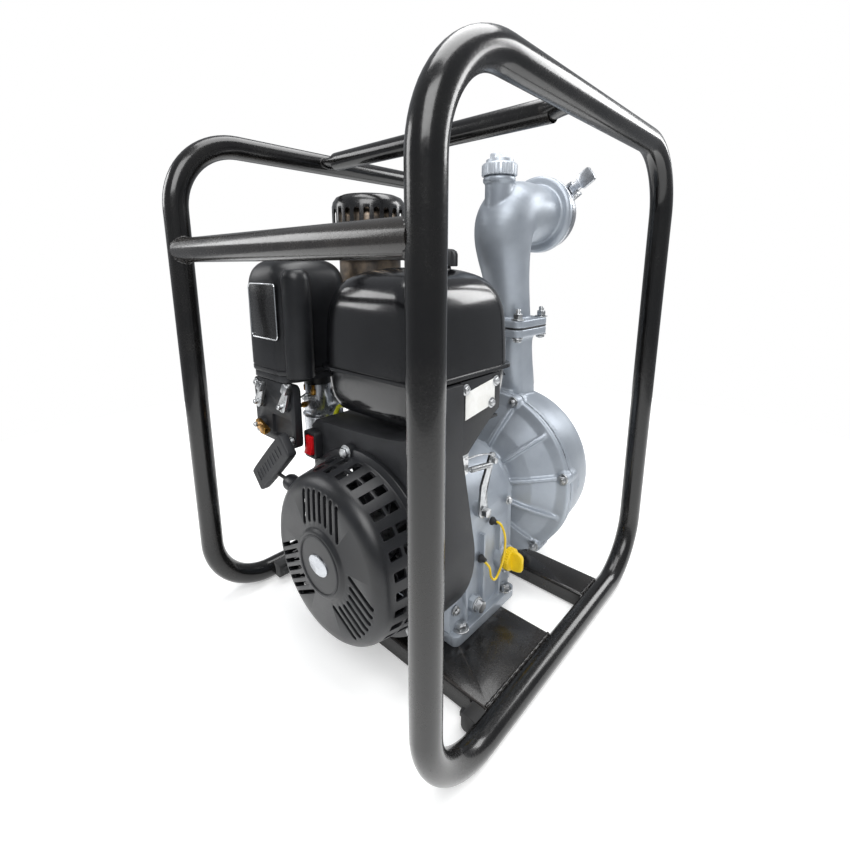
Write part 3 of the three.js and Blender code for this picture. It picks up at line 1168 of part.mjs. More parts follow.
// Quick hose coupling on the outlet, with two cam arms that swing on pins at its sides.
const COUPLING_FRONT = OUTLET_FACE + GAP;
const COUPLING_DEPTH = 22;
const ARM_Y = COUPLING_FRONT + 11;
const ARM_TILT = 35;             // the cam arms' line, turned up from level
const CHEEK = 6.5;               // half the gap between the cheeks that hold an arm
function outletCoupling() {
  const y0 = COUPLING_FRONT;
  const y1 = y0 + COUPLING_DEPTH;
  const body = turnedY([[OUTLET_BORE_R, y0], [OUTLET_R, y0], [OUTLET_R, y0 + 5], [OUTLET_R - 5, y0 + 7],
    [OUTLET_R - 5, y1], [OUTLET_R - 9, y1], [OUTLET_BORE_R + 4, y1 - 4], [OUTLET_BORE_R, y1 - 8]], 40);
  const cheeks = [0, 180].flatMap(turn => [-1, 1].map(side => {
    const z = side * (CHEEK + 2);
    return turnedCopy(block(OUTLET_R - 9, OUTLET_R + 8, y0 + 5, y1 - 1, z - 2, z + 2), turn);
  }));
  return join(body, ...cheeks).rotate([0, -ARM_TILT, 0]).translate([0, 0, OUTLET_Z]);
}

function camArm(turn) {
  const arm = new THREE.Shape();
  const x = OUTLET_R + 2;
  arm.absarc(x, ARM_Y, 5, HALF_PI, 1.5 * Math.PI);
  arm.lineTo(x + 34, ARM_Y - 6);
  arm.absarc(x + 34, ARM_Y - 3, 3, -HALF_PI, HALF_PI);
  arm.lineTo(x + 8, ARM_Y + 3);
  arm.closePath();
  const blade = alongZ(arm, -CHEEK + GAP, CHEEK - GAP, 5);
  const paddle = block(x + 14, x + 36, ARM_Y - 6, ARM_Y - 1, -11, 11);
  return turnedCopy(join(blade, paddle), turn + ARM_TILT).translate([0, 0, OUTLET_Z]);
}

function pumpDrainPlug() {
  const z0 = -CASING_R - 3 - GAP;
  const washer = rodZ(9.5, z0 - 2, z0, 20);
  const head = rodZ(8, z0 - 8, z0 - 1, 6);
  return join(washer, head).rotate([0, -DRAIN_LEAN, 0]).translate([0, DRAIN_Y, 0]);
}

place(machine, 'pump_adapter', pumpAdapter(), castAluminium);
place(machine, 'pump_casing', pumpCasing(), castAluminium);
place(machine, 'casing_gasket', casingGasket(), blackRubber);
place(machine, 'volute', volute(), darkIron);
place(machine, 'impeller', impeller(), darkIron);
place(machine, 'shaft_seal', shaftSeal(), blackRubber);
place(machine, 'suction_port', suctionPort(), castAluminium);
place(machine, 'suction_flap', suctionFlap(), blackRubber);
place(machine, 'discharge_gasket', dischargeGasket(), blackRubber);
place(machine, 'discharge_elbow', dischargeElbow(), castAluminium);
place(machine, 'priming_cap', primingCap(), castAluminium);
place(machine, 'outlet_coupling', outletCoupling(), machinedAluminium);
place(machine, 'cam_arm_right', camArm(0), machinedAluminium);
place(machine, 'cam_arm_left', camArm(180), machinedAluminium);
place(machine, 'pump_drain_plug', pumpDrainPlug(), brightSteel);
place(machine, 'fuel_hose', fuelHose(), yellowPlastic);

// ---- Plates -------------------------------------------------------------------------------
function badgePlate() {
  const shape = roundRect(CLEANER_LEFT + 22, CLEANER_BOTTOM + 44,
    CLEANER_RIGHT - 12, CLEANER_BOTTOM + 112, 6);
  return alongY(shape, CLEANER_FRONT - GAP - 1, CLEANER_FRONT - GAP, 4);
}
function serialLabel() {
  const x = COWL_X + SHEET + GAP;
  const shape = new THREE.Shape();
  shape.moveTo(-84, 148);
  shape.lineTo(-30, 156);
  shape.lineTo(-30, 186);
  shape.lineTo(-84, 178);
  shape.closePath();
  return alongX(shape, x, x + 0.8);
}
place(machine, 'badge_plate', badgePlate(), blackSteel);
place(machine, 'serial_label', serialLabel(), whiteLabel);

export default pump;
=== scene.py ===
"""Looks of a portable fire pump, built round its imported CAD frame. Shapes are drawn in millimetres about the
crank axis (x across, y along the shaft towards the pump, z up) and placed in metres."""
import json
import math

import bpy
import bmesh
import numpy as np
from mathutils import Matrix, Vector


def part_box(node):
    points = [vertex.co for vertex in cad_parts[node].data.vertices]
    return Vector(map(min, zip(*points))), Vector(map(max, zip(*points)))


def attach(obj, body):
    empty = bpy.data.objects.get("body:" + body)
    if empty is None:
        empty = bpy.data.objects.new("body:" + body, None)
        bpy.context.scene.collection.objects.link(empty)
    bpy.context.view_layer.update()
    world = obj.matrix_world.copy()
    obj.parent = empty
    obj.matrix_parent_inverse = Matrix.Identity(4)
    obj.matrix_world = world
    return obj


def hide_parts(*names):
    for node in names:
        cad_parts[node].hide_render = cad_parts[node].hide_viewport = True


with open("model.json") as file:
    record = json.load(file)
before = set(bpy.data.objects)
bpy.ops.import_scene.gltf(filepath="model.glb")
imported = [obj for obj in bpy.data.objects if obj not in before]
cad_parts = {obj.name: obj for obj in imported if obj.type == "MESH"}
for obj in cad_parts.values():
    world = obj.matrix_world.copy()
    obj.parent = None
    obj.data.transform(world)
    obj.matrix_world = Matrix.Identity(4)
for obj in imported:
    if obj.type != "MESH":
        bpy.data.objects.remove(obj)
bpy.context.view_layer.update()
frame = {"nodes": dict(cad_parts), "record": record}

MM = 0.001
JOINTS = {joint["name"]: joint for joint in frame["record"]["behaviour"]["joints"]}
BODY_OF = {node: body for body, nodes in frame["record"]["behaviour"]["bodies"].items() for node in nodes}
SLOT_OF = {entry["node"]: entry["material_slot"] for entry in frame["record"]["subparts"]}
CRANK = Vector(JOINTS["crank_spin"]["pos_m"]) / MM
GROUND = Vector((0, 0, 0))


# ---- Camera and studio --------------------------------------------------------------------------
def camera():
    data = bpy.data.cameras.new("camera")
    data.lens = 19.63
    data.sensor_width = 36
    data.shift_y = -0.068
    view = bpy.data.objects.new("camera", data)
    view.location = (0.40597, -0.46198, 0.46987)
    view.rotation_euler = (math.radians(90 - 12.33), 0, math.radians(42.35))
    bpy.context.scene.collection.objects.link(view)
    bpy.context.scene.camera = view


camera()


# ---- Materials ----------------------------------------------------------------------------------
def linear(colour):
    """An sRGB hex colour as linear RGBA."""
    channels = [int(colour[i:i + 2], 16) / 255 for i in (0, 2, 4)]
    return [c / 12.92 if c <= 0.04045 else ((c + 0.055) / 1.055) ** 2.4 for c in channels] + [1]


def add(tree, kind, links=None, values=None, **settings):
    """Adds a node, sets its properties and input values, and links sockets into its inputs."""
    node = tree.nodes.new(kind)
    for name, value in settings.items():
        setattr(node, name, value)
    for key, value in (values or {}).items():
        node.inputs[key].default_value = value
    for key, socket in (links or {}).items():
        tree.links.new(socket, node.inputs[key])
    return node


def finish(name, colour, shade, blotch, grain, rough, metallic=0.0, relief=0.0, stretch=(1, 1, 1), worn=None,
           coat=0.0, coat_roughness=0.08, sheen=0.0, ior=1.5, pattern="noise"):
    """A procedural surface: two tones in blotches, roughness that follows them, and a grain in relief.
    blotch, grain and relief are millimetres on the real piece; worn is the tone of rubbed edges."""
    material = bpy.data.materials.new(name)
    material.use_nodes = True
    tree = material.node_tree
    shader = tree.nodes["Principled BSDF"]
    shader.inputs["Metallic"].default_value = metallic
    shader.inputs["Coat Weight"].default_value = coat
    shader.inputs["Coat Roughness"].default_value = coat_roughness
    shader.inputs["Sheen Weight"].default_value = sheen
    if metallic < 0.5:
        shader.inputs["IOR"].default_value = ior
    place = add(tree, "ShaderNodeTexCoord")
    mapping = add(tree, "ShaderNodeMapping", {"Vector": place.outputs["Object"]}, {"Scale": stretch})
    where = mapping.outputs["Vector"]
    cloud = add(tree, "ShaderNodeTexNoise", {"Vector": where},
                {"Scale": 1 / (blotch * MM), "Detail": 6.0, "Roughness": 0.62})
    tone = add(tree, "ShaderNodeValToRGB", {"Fac": cloud.outputs["Fac"]})
    tone.color_ramp.elements[0].position = 0.36
    tone.color_ramp.elements[0].color = linear(shade)
    tone.color_ramp.elements[1].position = 0.64
    tone.color_ramp.elements[1].color = linear(colour)
    colour_out = tone.outputs["Color"]
    if worn:
        edge = add(tree, "ShaderNodeNewGeometry")
        rub = add(tree, "ShaderNodeMapRange", {"Value": edge.outputs["Pointiness"]},
                  {"From Min": 0.53, "From Max": 0.62})
        patchy = add(tree, "ShaderNodeMath", {0: rub.outputs["Result"], 1: cloud.outputs["Fac"]},
                     operation="MULTIPLY")
        mix = add(tree, "ShaderNodeMix", {0: patchy.outputs["Value"], 6: colour_out}, {7: linear(worn)},
                  data_type="RGBA")
        colour_out = mix.outputs[2]
    tree.links.new(colour_out, shader.inputs["Base Color"])
    if pattern == "noise":
        fine = add(tree, "ShaderNodeTexNoise", {"Vector": where},
                   {"Scale": 1 / (grain * MM), "Detail": 4.0, "Roughness": 0.55})
        height = fine.outputs["Fac"]
    elif pattern == "cells":
        fine = add(tree, "ShaderNodeTexVoronoi", {"Vector": where}, {"Scale": 1 / (grain * MM)})
        height = fine.outputs["Distance"]
    else:
        fine = add(tree, "ShaderNodeTexWave", {"Vector": where},
                   {"Scale": 1 / (6.28 * grain * MM), "Distortion": 0.6, "Detail": 2.0, "Detail Scale": 1.2},
                   wave_type=pattern.split("_")[0].upper(), bands_direction=pattern.split("_")[1].upper()
                   if pattern.startswith("bands") else "DIAGONAL")
        height = fine.outputs["Fac"]
    mottle = add(tree, "ShaderNodeMath", {0: cloud.outputs["Fac"], 1: height}, operation="MULTIPLY")
    spread = add(tree, "ShaderNodeMapRange", {"Value": mottle.outputs["Value"]},
                 {"From Min": 0.12, "From Max": 0.42, "To Min": rough[0], "To Max": rough[1]})
    tree.links.new(spread.outputs["Result"], shader.inputs["Roughness"])
    if relief:
        bump = add(tree, "ShaderNodeBump", {"Height": height}, {"Distance": relief * MM, "Strength": 0.8})
        tree.links.new(bump.outputs["Normal"], shader.inputs["Normal"])
    return material


FINISH = {
    # Powder-coated tube: deep gloss black with a faint orange peel that breaks up long highlights.
    "frame_paint": finish("powder_coated_tube", "121110", "0a0a0b", 60, 2.2, (0.16, 0.32), relief=0.05,
                          worn="3a3633", coat=0.25, ior=1.45),
    # Gravity-cast aluminium under a thin silver paint: soft blue-grey, satin, barely gritty.
    "cast_aluminium": finish("painted_cast_aluminium", "a4abb3", "989fa8", 45, 0.9, (0.36, 0.5), metallic=0.45,
                             relief=0.09, worn="c9ced4"),
    # Die-cast and turned aluminium: finer skin, brighter, with faint tool rings.
    "machined_aluminium": finish("turned_aluminium", "c9ccd0", "b0b3b8", 18, 0.5, (0.22, 0.38), metallic=0.95,
                                 relief=0.04, stretch=(1, 6, 1)),
    # Stove-enamelled pressed steel: black and bright, slightly wavy.
    "black_steel": finish("enamelled_pressing", "171718", "0e0e10", 30, 1.4, (0.2, 0.36), relief=0.05,
                          worn="55524e", coat=0.35),
    # Glass-filled nylon: dark grey with a fine spark-eroded grain.
    "matte_plastic": finish("grained_nylon", "26272a", "1d1e20", 22, 0.55, (0.42, 0.6), relief=0.07, ior=1.44),
    # Painted blow-moulded tank and cover: polished black lacquer.
    "gloss_plastic": finish("black_lacquer", "101113", "09090b", 80, 3.0, (0.12, 0.24), relief=0.03, coat=0.4),
    # Zinc-plated steel: cool silver with a soft drawn grain.
    "bright_steel": finish("zinc_plated_steel", "c4c6c8", "a3a5a6", 6, 0.4, (0.24, 0.42), metallic=1.0,
                           relief=0.03, worn="e8e8e8"),
    # Grey iron: dark, rough as it left the sand.
    "iron": finish("grey_iron", "5a5b5e", "434447", 14, 0.8, (0.42, 0.65), metallic=0.75, relief=0.14),
    # Nitrile rubber: dull black with a slight bloom.
    "rubber": finish("nitrile_rubber", "1b1b1c", "141414", 12, 0.7, (0.6, 0.8), relief=0.06, sheen=0.15),
    # Moulded yellow polypropylene: warm, slightly waxy.
    "yellow_plastic": finish("yellow_polypropylene", "f0cf1c", "dcb70f", 20, 0.9, (0.32, 0.46), relief=0.03),
    # Red ABS rocker: saturated and glossy.
    "red_plastic": finish("red_abs", "c8161d", "b01017", 16, 0.9, (0.2, 0.32), relief=0.02),
    # Turned brass: golden with darker tarnish in the hollows.
    "brass_fitting": finish("turned_brass", "c79a4e", "9a6c2c", 5, 0.4, (0.26, 0.42), metallic=1.0, relief=0.03),
    # Printed vinyl: satin white.
    "white_label": finish("satin_vinyl", "f1f1ee", "e7e6e1", 15, 0.8, (0.35, 0.5), relief=0.015),
    # Reticulated foam: open cells, dusty grey.
    "filter_foam": finish("reticulated_foam", "6c675c", "4a463d", 4, 1.2, (0.85, 0.95), relief=0.5,
                          pattern="cells"),
}
# Heat-blued stainless pipe and can: brown to straw where it runs hot.
HOT_STEEL = finish("heat_tinted_steel", "8d7d6b", "5b5652", 22, 0.8, (0.3, 0.5), metallic=0.95, relief=0.06)
# Braided nylon starter cord: dark with crossing strands 1.2 mm apart.
BRAID = finish("braided_nylon", "2b2b2c", "151515", 3, 1.2, (0.6, 0.75), relief=0.4, pattern="bands_diagonal")
# Moulded covers: black ABS with a soft satin skin, a little brighter on its shoulders.
SATIN = finish("satin_abs", "1c1d20", "151618", 40, 0.7, (0.3, 0.44), relief=0.035, ior=1.46)
# Translucent fuel hose: greenish yellow, smooth.
HOSE = finish("fuel_hose_vinyl", "cfd23a", "b4b622", 14, 1.2, (0.18, 0.3), relief=0.02, coat=0.3)
# Bright trim round the cover's plate: polished metal foil.
FOIL = finish("polished_foil", "dfe1e3", "c6c9cc", 12, 0.6, (0.08, 0.2), metallic=1.0)
# Light table under the object: opal acrylic, matt, with a faint glow of its own.
CARD = finish("opal_acrylic", "f4f4f3", "f1f1f0", 400, 3.0, (0.5, 0.6))
CARD.node_tree.nodes["Principled BSDF"].inputs["Emission Color"].default_value = (1, 1, 1, 1)
CARD.node_tree.nodes["Principled BSDF"].inputs["Emission Strength"].default_value = 0.25

for node, obj in frame["nodes"].items():
    obj.data.materials.clear()
    obj.data.materials.append(FINISH[SLOT_OF[node]])


# ---- Drawing solids: a part is (vertices, faces) in millimetres ------------------------------------
def merge(*parts):
    vertices, faces = [], []
    for v, f in parts:
        start = len(vertices)
        vertices += [tuple(p) for p in v]
        faces += [[i + start for i in face] for face in f]
    return vertices, faces


def moved(part, offset):
    return [tuple(Vector(p) + Vector(offset)) for p in part[0]], part[1]


def turned(part, degrees, axis="Y"):
    """Turned about Y so that a positive angle runs from +X to +Z, or by the right hand about X or Z."""
    sign = -1 if axis == "Y" else 1
    spin = Matrix.Rotation(math.radians(sign * degrees), 3, axis)
    return [tuple(spin @ Vector(p)) for p in part[0]], part[1]


def aimed(part, direction):
    """Turned so that its +Z points along direction."""
    spin = Vector((0, 0, 1)).rotation_difference(Vector(direction)).to_matrix()
    return [tuple(spin @ Vector(p)) for p in part[0]], part[1]


def around(part, count, start=0.0):
    return merge(*[turned(part, start + 360 * i / count) for i in range(count)])


def circle(count):
    """Even steps of angle round one full turn."""
    return np.linspace(0, 2 * math.pi, count, False)


def lathe(profile, sides=72):
    """Turned about Z from (radius, z) points; closed to the axis or back on itself."""
    vertices, rings = [], []
    for r, z in profile:
        if r < 1e-6:
            rings.append([len(vertices)])
            vertices.append((0, 0, z))
        else:
            rings.append(list(range(len(vertices), len(vertices) + sides)))
            vertices += [(r * math.cos(2 * math.pi * i / sides), r * math.sin(2 * math.pi * i / sides), z)
                         for i in range(sides)]
    faces = []
    pairs = list(zip(rings, rings[1:]))
    if len(rings[0]) > 1 and len(rings[-1]) > 1:
        pairs.append((rings[-1], rings[0]))
    for low, high in pairs:
        for i in range(sides):
            j = (i + 1) % sides
            if len(low) == 1 and len(high) > 1:
                faces.append([low[0], high[i], high[j]])
            elif len(high) == 1 and len(low) > 1:
                faces.append([low[i], high[0], low[j]])
            elif len(low) > 1:
                faces.append([low[i], high[i], high[j], low[j]])
    return vertices, faces


def along_y(part):
    """A part drawn about Z laid along Y."""
    return [(x, z, -y) for x, y, z in part[0]], part[1]


def along_x(part):
    return [(z, y, -x) for x, y, z in part[0]], part[1]


def prism(outline, low, high, axis="Z"):
    """Outline points (u, v) between two levels: (x, y) for Z, (x, z) for Y, (y, z) for X."""
    put = {"Z": lambda u, v, w: (u, v, w), "Y": lambda u, v, w: (u, w, v), "X": lambda u, v, w: (w, u, v)}[axis]
    n = len(outline)
    vertices = [put(u, v, w) for w in (low, high) for u, v in outline]
    faces = [[i, (i + 1) % n, n + (i + 1) % n, n + i] for i in range(n)]
    return vertices, faces + [list(range(n))[::-1], list(range(n, 2 * n))]


def arc(cx, cy, radius, start, end, steps=8):
    return [(cx + radius * math.cos(math.radians(start + (end - start) * i / steps)),
             cy + radius * math.sin(math.radians(start + (end - start) * i / steps))) for i in range(steps + 1)]


def round_rect(x0, y0, x1, y1, r, steps=6):
    return (arc(x1 - r, y0 + r, r, -90, 0, steps) + arc(x1 - r, y1 - r, r, 0, 90, steps)
            + arc(x0 + r, y1 - r, r, 90, 180, steps) + arc(x0 + r, y0 + r, r, 180, 270, steps))


def block(x0, x1, y0, y1, z0, z1):
    return prism([(x0, y0), (x1, y0), (x1, y1), (x0, y1)], z0, z1)


def skin(rings, capped=True, looped=False):
    n = len(rings[0])
    vertices = [tuple(p) for ring in rings for p in ring]
    pairs = [(s, s + 1) for s in range(len(rings) - 1)] + ([(len(rings) - 1, 0)] if looped else [])
    faces = [[a * n + i, a * n + (i + 1) % n, b * n + (i + 1) % n, b * n + i] for a, b in pairs for i in range(n)]
    if capped and not looped:
        faces += [list(range(n))[::-1], [len(vertices) - n + i for i in range(n)]]
    return vertices, faces


def flowing(rows, steps=5):
    """Catmull-Rom rows through the given ones."""
    rows = np.array(rows, float)
    ends = np.vstack([2 * rows[0] - rows[1], rows, 2 * rows[-1] - rows[-2]])
    out = []
    for i in range(1, len(ends) - 2):
        p0, p1, p2, p3 = ends[i - 1:i + 3]
        for k in range(steps):
            t = k / steps
            out.append(0.5 * (2 * p1 + (p2 - p0) * t + (2 * p0 - 5 * p1 + 4 * p2 - p3) * t ** 2
                              + (3 * p1 - p0 - 3 * p2 + p3) * t ** 3))
    return out + [rows[-1]]


def tube(points, radius, sides=20, looped=False):
    """A round rod swept through points; radius may be one number or one for each point."""
    points = [Vector(p) for p in points]
    count = len(points)
    radii = radius if isinstance(radius, (list, tuple)) else [radius] * count
    tangents = []
    for i in range(count):
        before = points[i - 1] if looped or i else points[i]
        after = points[(i + 1) % count] if looped or i < count - 1 else points[i]
        tangents.append((after - before).normalized())
    side = tangents[0].orthogonal().normalized()
    rings = []
    for point, tangent, r in zip(points, tangents, radii):
        side = (side - tangent * side.dot(tangent)).normalized()
        other = tangent.cross(side)
        rings.append([point + r * (side * math.cos(2 * math.pi * k / sides) + other * math.sin(2 * math.pi * k / sides))
                      for k in range(sides)])
    return skin(rings, looped=looped)


def coil(start, end, radius, wire, turns, sides=8):
    """A helical spring with straight tails between two points."""
    start, end = Vector(start), Vector(end)
    line = (end - start)
    u = line.orthogonal().normalized()
    v = line.normalized().cross(u)
    steps = turns * 14
    body = [start + line * (0.15 + 0.7 * i / steps) + radius * (u * math.cos(2 * math.pi * i / 14)
            + v * math.sin(2 * math.pi * i / 14)) for i in range(steps + 1)]
    return tube([start] + body + [end], wire, sides)


def hex_bolt(across, height, washer=1.35):
    """Flanged hexagon head standing on z = 0, chamfered, with a thin washer."""
    r = across / math.sqrt(3)
    hexagon = lambda s, z: [(s * r * math.cos(a), s * r * math.sin(a), z) for a in circle(6)]
    head = skin([hexagon(1, 0.8), hexagon(1, height - 0.9), hexagon(0.86, height)])
    dish = lathe([(0, height - 0.2), (0.62 * r, height - 0.2), (0.55 * r, height + 0.5), (0, height + 0.5)], 24)
    ring = lathe([(0, 0), (washer * r * 0.98, 0), (washer * r, 0.5), (washer * r, 1.1), (washer * r * 0.97, 1.5),
                  (0, 1.5)], 32)
    return merge(head, dish, ring)


def bolts(places, direction, across, height):
    head = aimed(hex_bolt(across, height), direction)
    return merge(*[moved(head, place) for place in places])


# ---- From parts to objects ------------------------------------------------------------------------
def build(name, part, origin):
    data = bpy.data.meshes.new(name)
    data.from_pydata([tuple((Vector(v) + origin) * MM) for v in part[0]], [], part[1])
    edit = bmesh.new()
    edit.from_mesh(data)
    bmesh.ops.recalc_face_normals(edit, faces=edit.faces)
    edit.to_mesh(data)
    edit.free()
    obj = bpy.data.objects.new(name, data)
    bpy.context.scene.collection.objects.link(obj)
    return obj


def settle(obj):
    """Applies an object's modifiers to its own mesh."""
    graph = bpy.context.evaluated_depsgraph_get()
    done = bpy.data.meshes.new_from_object(obj.evaluated_get(graph))
    old = obj.data
    obj.modifiers.clear()
    obj.data = done
    bpy.data.meshes.remove(old)


def worked(part, cutters=(), voxel=0.0, relax=0):
    """A part with others cut from it, or melted together as one casting with filleted corners."""
    obj = build("work", part, GROUND)
    tools = [build("tool", tool, GROUND) for tool in cutters]
    for tool in tools:
        cut = obj.modifiers.new("cut", "BOOLEAN")
        cut.operation = "DIFFERENCE"
        cut.solver = "EXACT"
        cut.object = tool
    if voxel:
        melt = obj.modifiers.new("melt", "REMESH")
        melt.mode = "VOXEL"
        melt.voxel_size = voxel * MM
        melt.use_smooth_shade = True
        soften = obj.modifiers.new("soften", "SMOOTH")
        soften.iterations = relax
        soften.factor = 0.5
    settle(obj)
    out = [tuple(v.co / MM) for v in obj.data.vertices], [list(p.vertices) for p in obj.data.polygons]
    for gone in [obj] + tools:
        data = gone.data
        bpy.data.objects.remove(gone)
        bpy.data.meshes.remove(data)
    return out


def piece(name, part, stands_for=(), body=None, material=None, origin=None, bevel=0.5, angle=35, slot=None):
    """Makes an object from a part, rounds its edges, and gives it its body, slot and finish."""
    obj = build(name, part, CRANK if origin is None else origin)
    if bevel:
        edge = obj.modifiers.new("edge", "BEVEL")
        edge.width = bevel * MM
        edge.segments = 2
        edge.limit_method = "ANGLE"
        edge.angle_limit = math.radians(angle)
        edge.use_clamp_overlap = True
        settle(obj)
    obj.data.shade_smooth()
    obj.data.set_sharp_from_angle(angle=math.radians(angle + 8 if bevel else angle))
    nodes = [stands_for] if isinstance(stands_for, str) else list(stands_for)
    if nodes:
        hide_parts(*nodes)
    owner = body or (BODY_OF[nodes[0]] if nodes else "frame")
    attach(obj, owner)
    chosen = slot or (SLOT_OF[nodes[0]] if nodes else "bright_steel")
    obj.data.materials.append(material or FINISH[chosen])
    return obj


def refined(node, bevel=0.6, angle=32, material=None):
    """The CAD solid of a node again, with its edges broken and its turned faces shaded round."""
    source = frame["nodes"][node].data
    edit = bmesh.new()
    edit.from_mesh(source)
    bmesh.ops.remove_doubles(edit, verts=edit.verts, dist=2e-5)
    bmesh.ops.dissolve_limit(edit, angle_limit=math.radians(1.5), verts=edit.verts, edges=edit.edges)
    part = ([tuple(v.co / MM) for v in edit.verts], [[v.index for v in f.verts] for f in edit.faces])
    edit.free()
    return piece(node + "_body", part, node, origin=GROUND, bevel=bevel, angle=angle, material=material)


# ---- Tube frame -----------------------------------------------------------------------------------
def frame_pieces():
    low, high = (Vector(corner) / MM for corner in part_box("hoop_right"))
    radius = (high.x - low.x) / 2
    hoop_x, hoop_y, top = low.x + radius, high.y - radius, high.z - radius
    bend = 82
    for side, name in ((1, "hoop_right"), (-1, "hoop_left")):
        path = []
        for cy, cz, start in ((hoop_y - bend, radius + bend, -90), (hoop_y - bend, top - bend, 0),
                              (bend - hoop_y, top - bend, 90), (bend - hoop_y, radius + bend, 180)):
            path += [(side * hoop_x, y, z) for y, z in arc(cy, cz, bend, start, start + 90, 18)]
        piece(name + "_tube", tube(path, radius, 40, looped=True), name, origin=GROUND, bevel=0, angle=60)

    low, high = (Vector(corner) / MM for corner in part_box("front_rail"))
    rail_z = (low.z + high.z) / 2
    reach = hoop_x - 6
    piece("front_rail_tube", tube([(-reach, -hoop_y, rail_z), (reach, -hoop_y, rail_z)], radius, 40), "front_rail",
          origin=GROUND, bevel=0, angle=60)
    low, high = (Vector(corner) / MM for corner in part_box("top_bar"))
    bar_y, bar_r = (low.y + high.y) / 2, (high.y - low.y) / 2
    # The bar's ends are pressed to a flat oval before they are welded on.
    rows = flowing([(-reach, 14.5, 5.5), (-reach + 14, 14, 6), (-reach + 34, bar_r, 11), (-reach + 50, bar_r, bar_r),
                    (reach - 50, bar_r, bar_r), (reach - 34, bar_r, 11), (reach - 14, 14, 6), (reach, 14.5, 5.5)], 4)
    rings = [[(x, bar_y + ry * math.cos(a), top + rz * math.sin(a)) for a in circle(36)]
             for x, ry, rz in rows]
    piece("top_bar_tube", skin(rings), "top_bar", origin=GROUND, bevel=0, angle=60)

    # Weld beads: a rippled fillet round each saddle.
    beads = []
    turn = circle(90)
    ripple = [2.1 + 0.35 * math.sin(22 * a) + 0.2 * math.sin(5 * a + 1) for a in turn]
    for side in (-1, 1):
        beads.append(tube([(side * (hoop_x - radius * abs(math.sin(a)) - 0.4), -hoop_y + (radius - 2.6) * math.cos(a),
                            rail_z + (radius + 0.6) * math.sin(a)) for a in turn], ripple, 8, looped=True))
        beads.append(tube([(side * (hoop_x - math.sqrt(max(radius ** 2 - (6 * math.sin(a)) ** 2, 0)) + 0.3),
                            bar_y + 15 * math.cos(a), top + 6.5 * math.sin(a)) for a in turn],
                          [r * 0.75 for r in ripple], 8, looped=True))
    piece("weld_beads", merge(*beads), body="frame", slot="frame_paint", origin=GROUND, bevel=0, angle=60)

    for name in ("base_plate", "rear_crossmember"):
        refined(name, bevel=1.0)
    seams = []
    for name in ("base_plate", "rear_crossmember"):
        low, high = (Vector(corner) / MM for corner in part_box(name))
        for side in (-1, 1):
            seams.append(tube([(side * (high.x - 3.4), y, high.z - 0.6 + 0.3 * math.sin(y)) for y in
                               np.linspace(low.y + 3, high.y - 3, 60)],
                              [1.9 + 0.4 * math.sin(1.3 * k) for k in range(60)], 8))
    piece("plate_welds", merge(*seams), body="frame", slot="frame_paint", origin=GROUND, bevel=0, angle=60)
    for name in ("hoop_lug_right", "hoop_lug_left"):
        refined(name, bevel=1.2)


# ---- Recoil starter and blower ---------------------------------------------------------------------
FAN_FRONT = -152
FACE = FAN_FRONT - 61
HUB_R, RIM_R = 40, 110


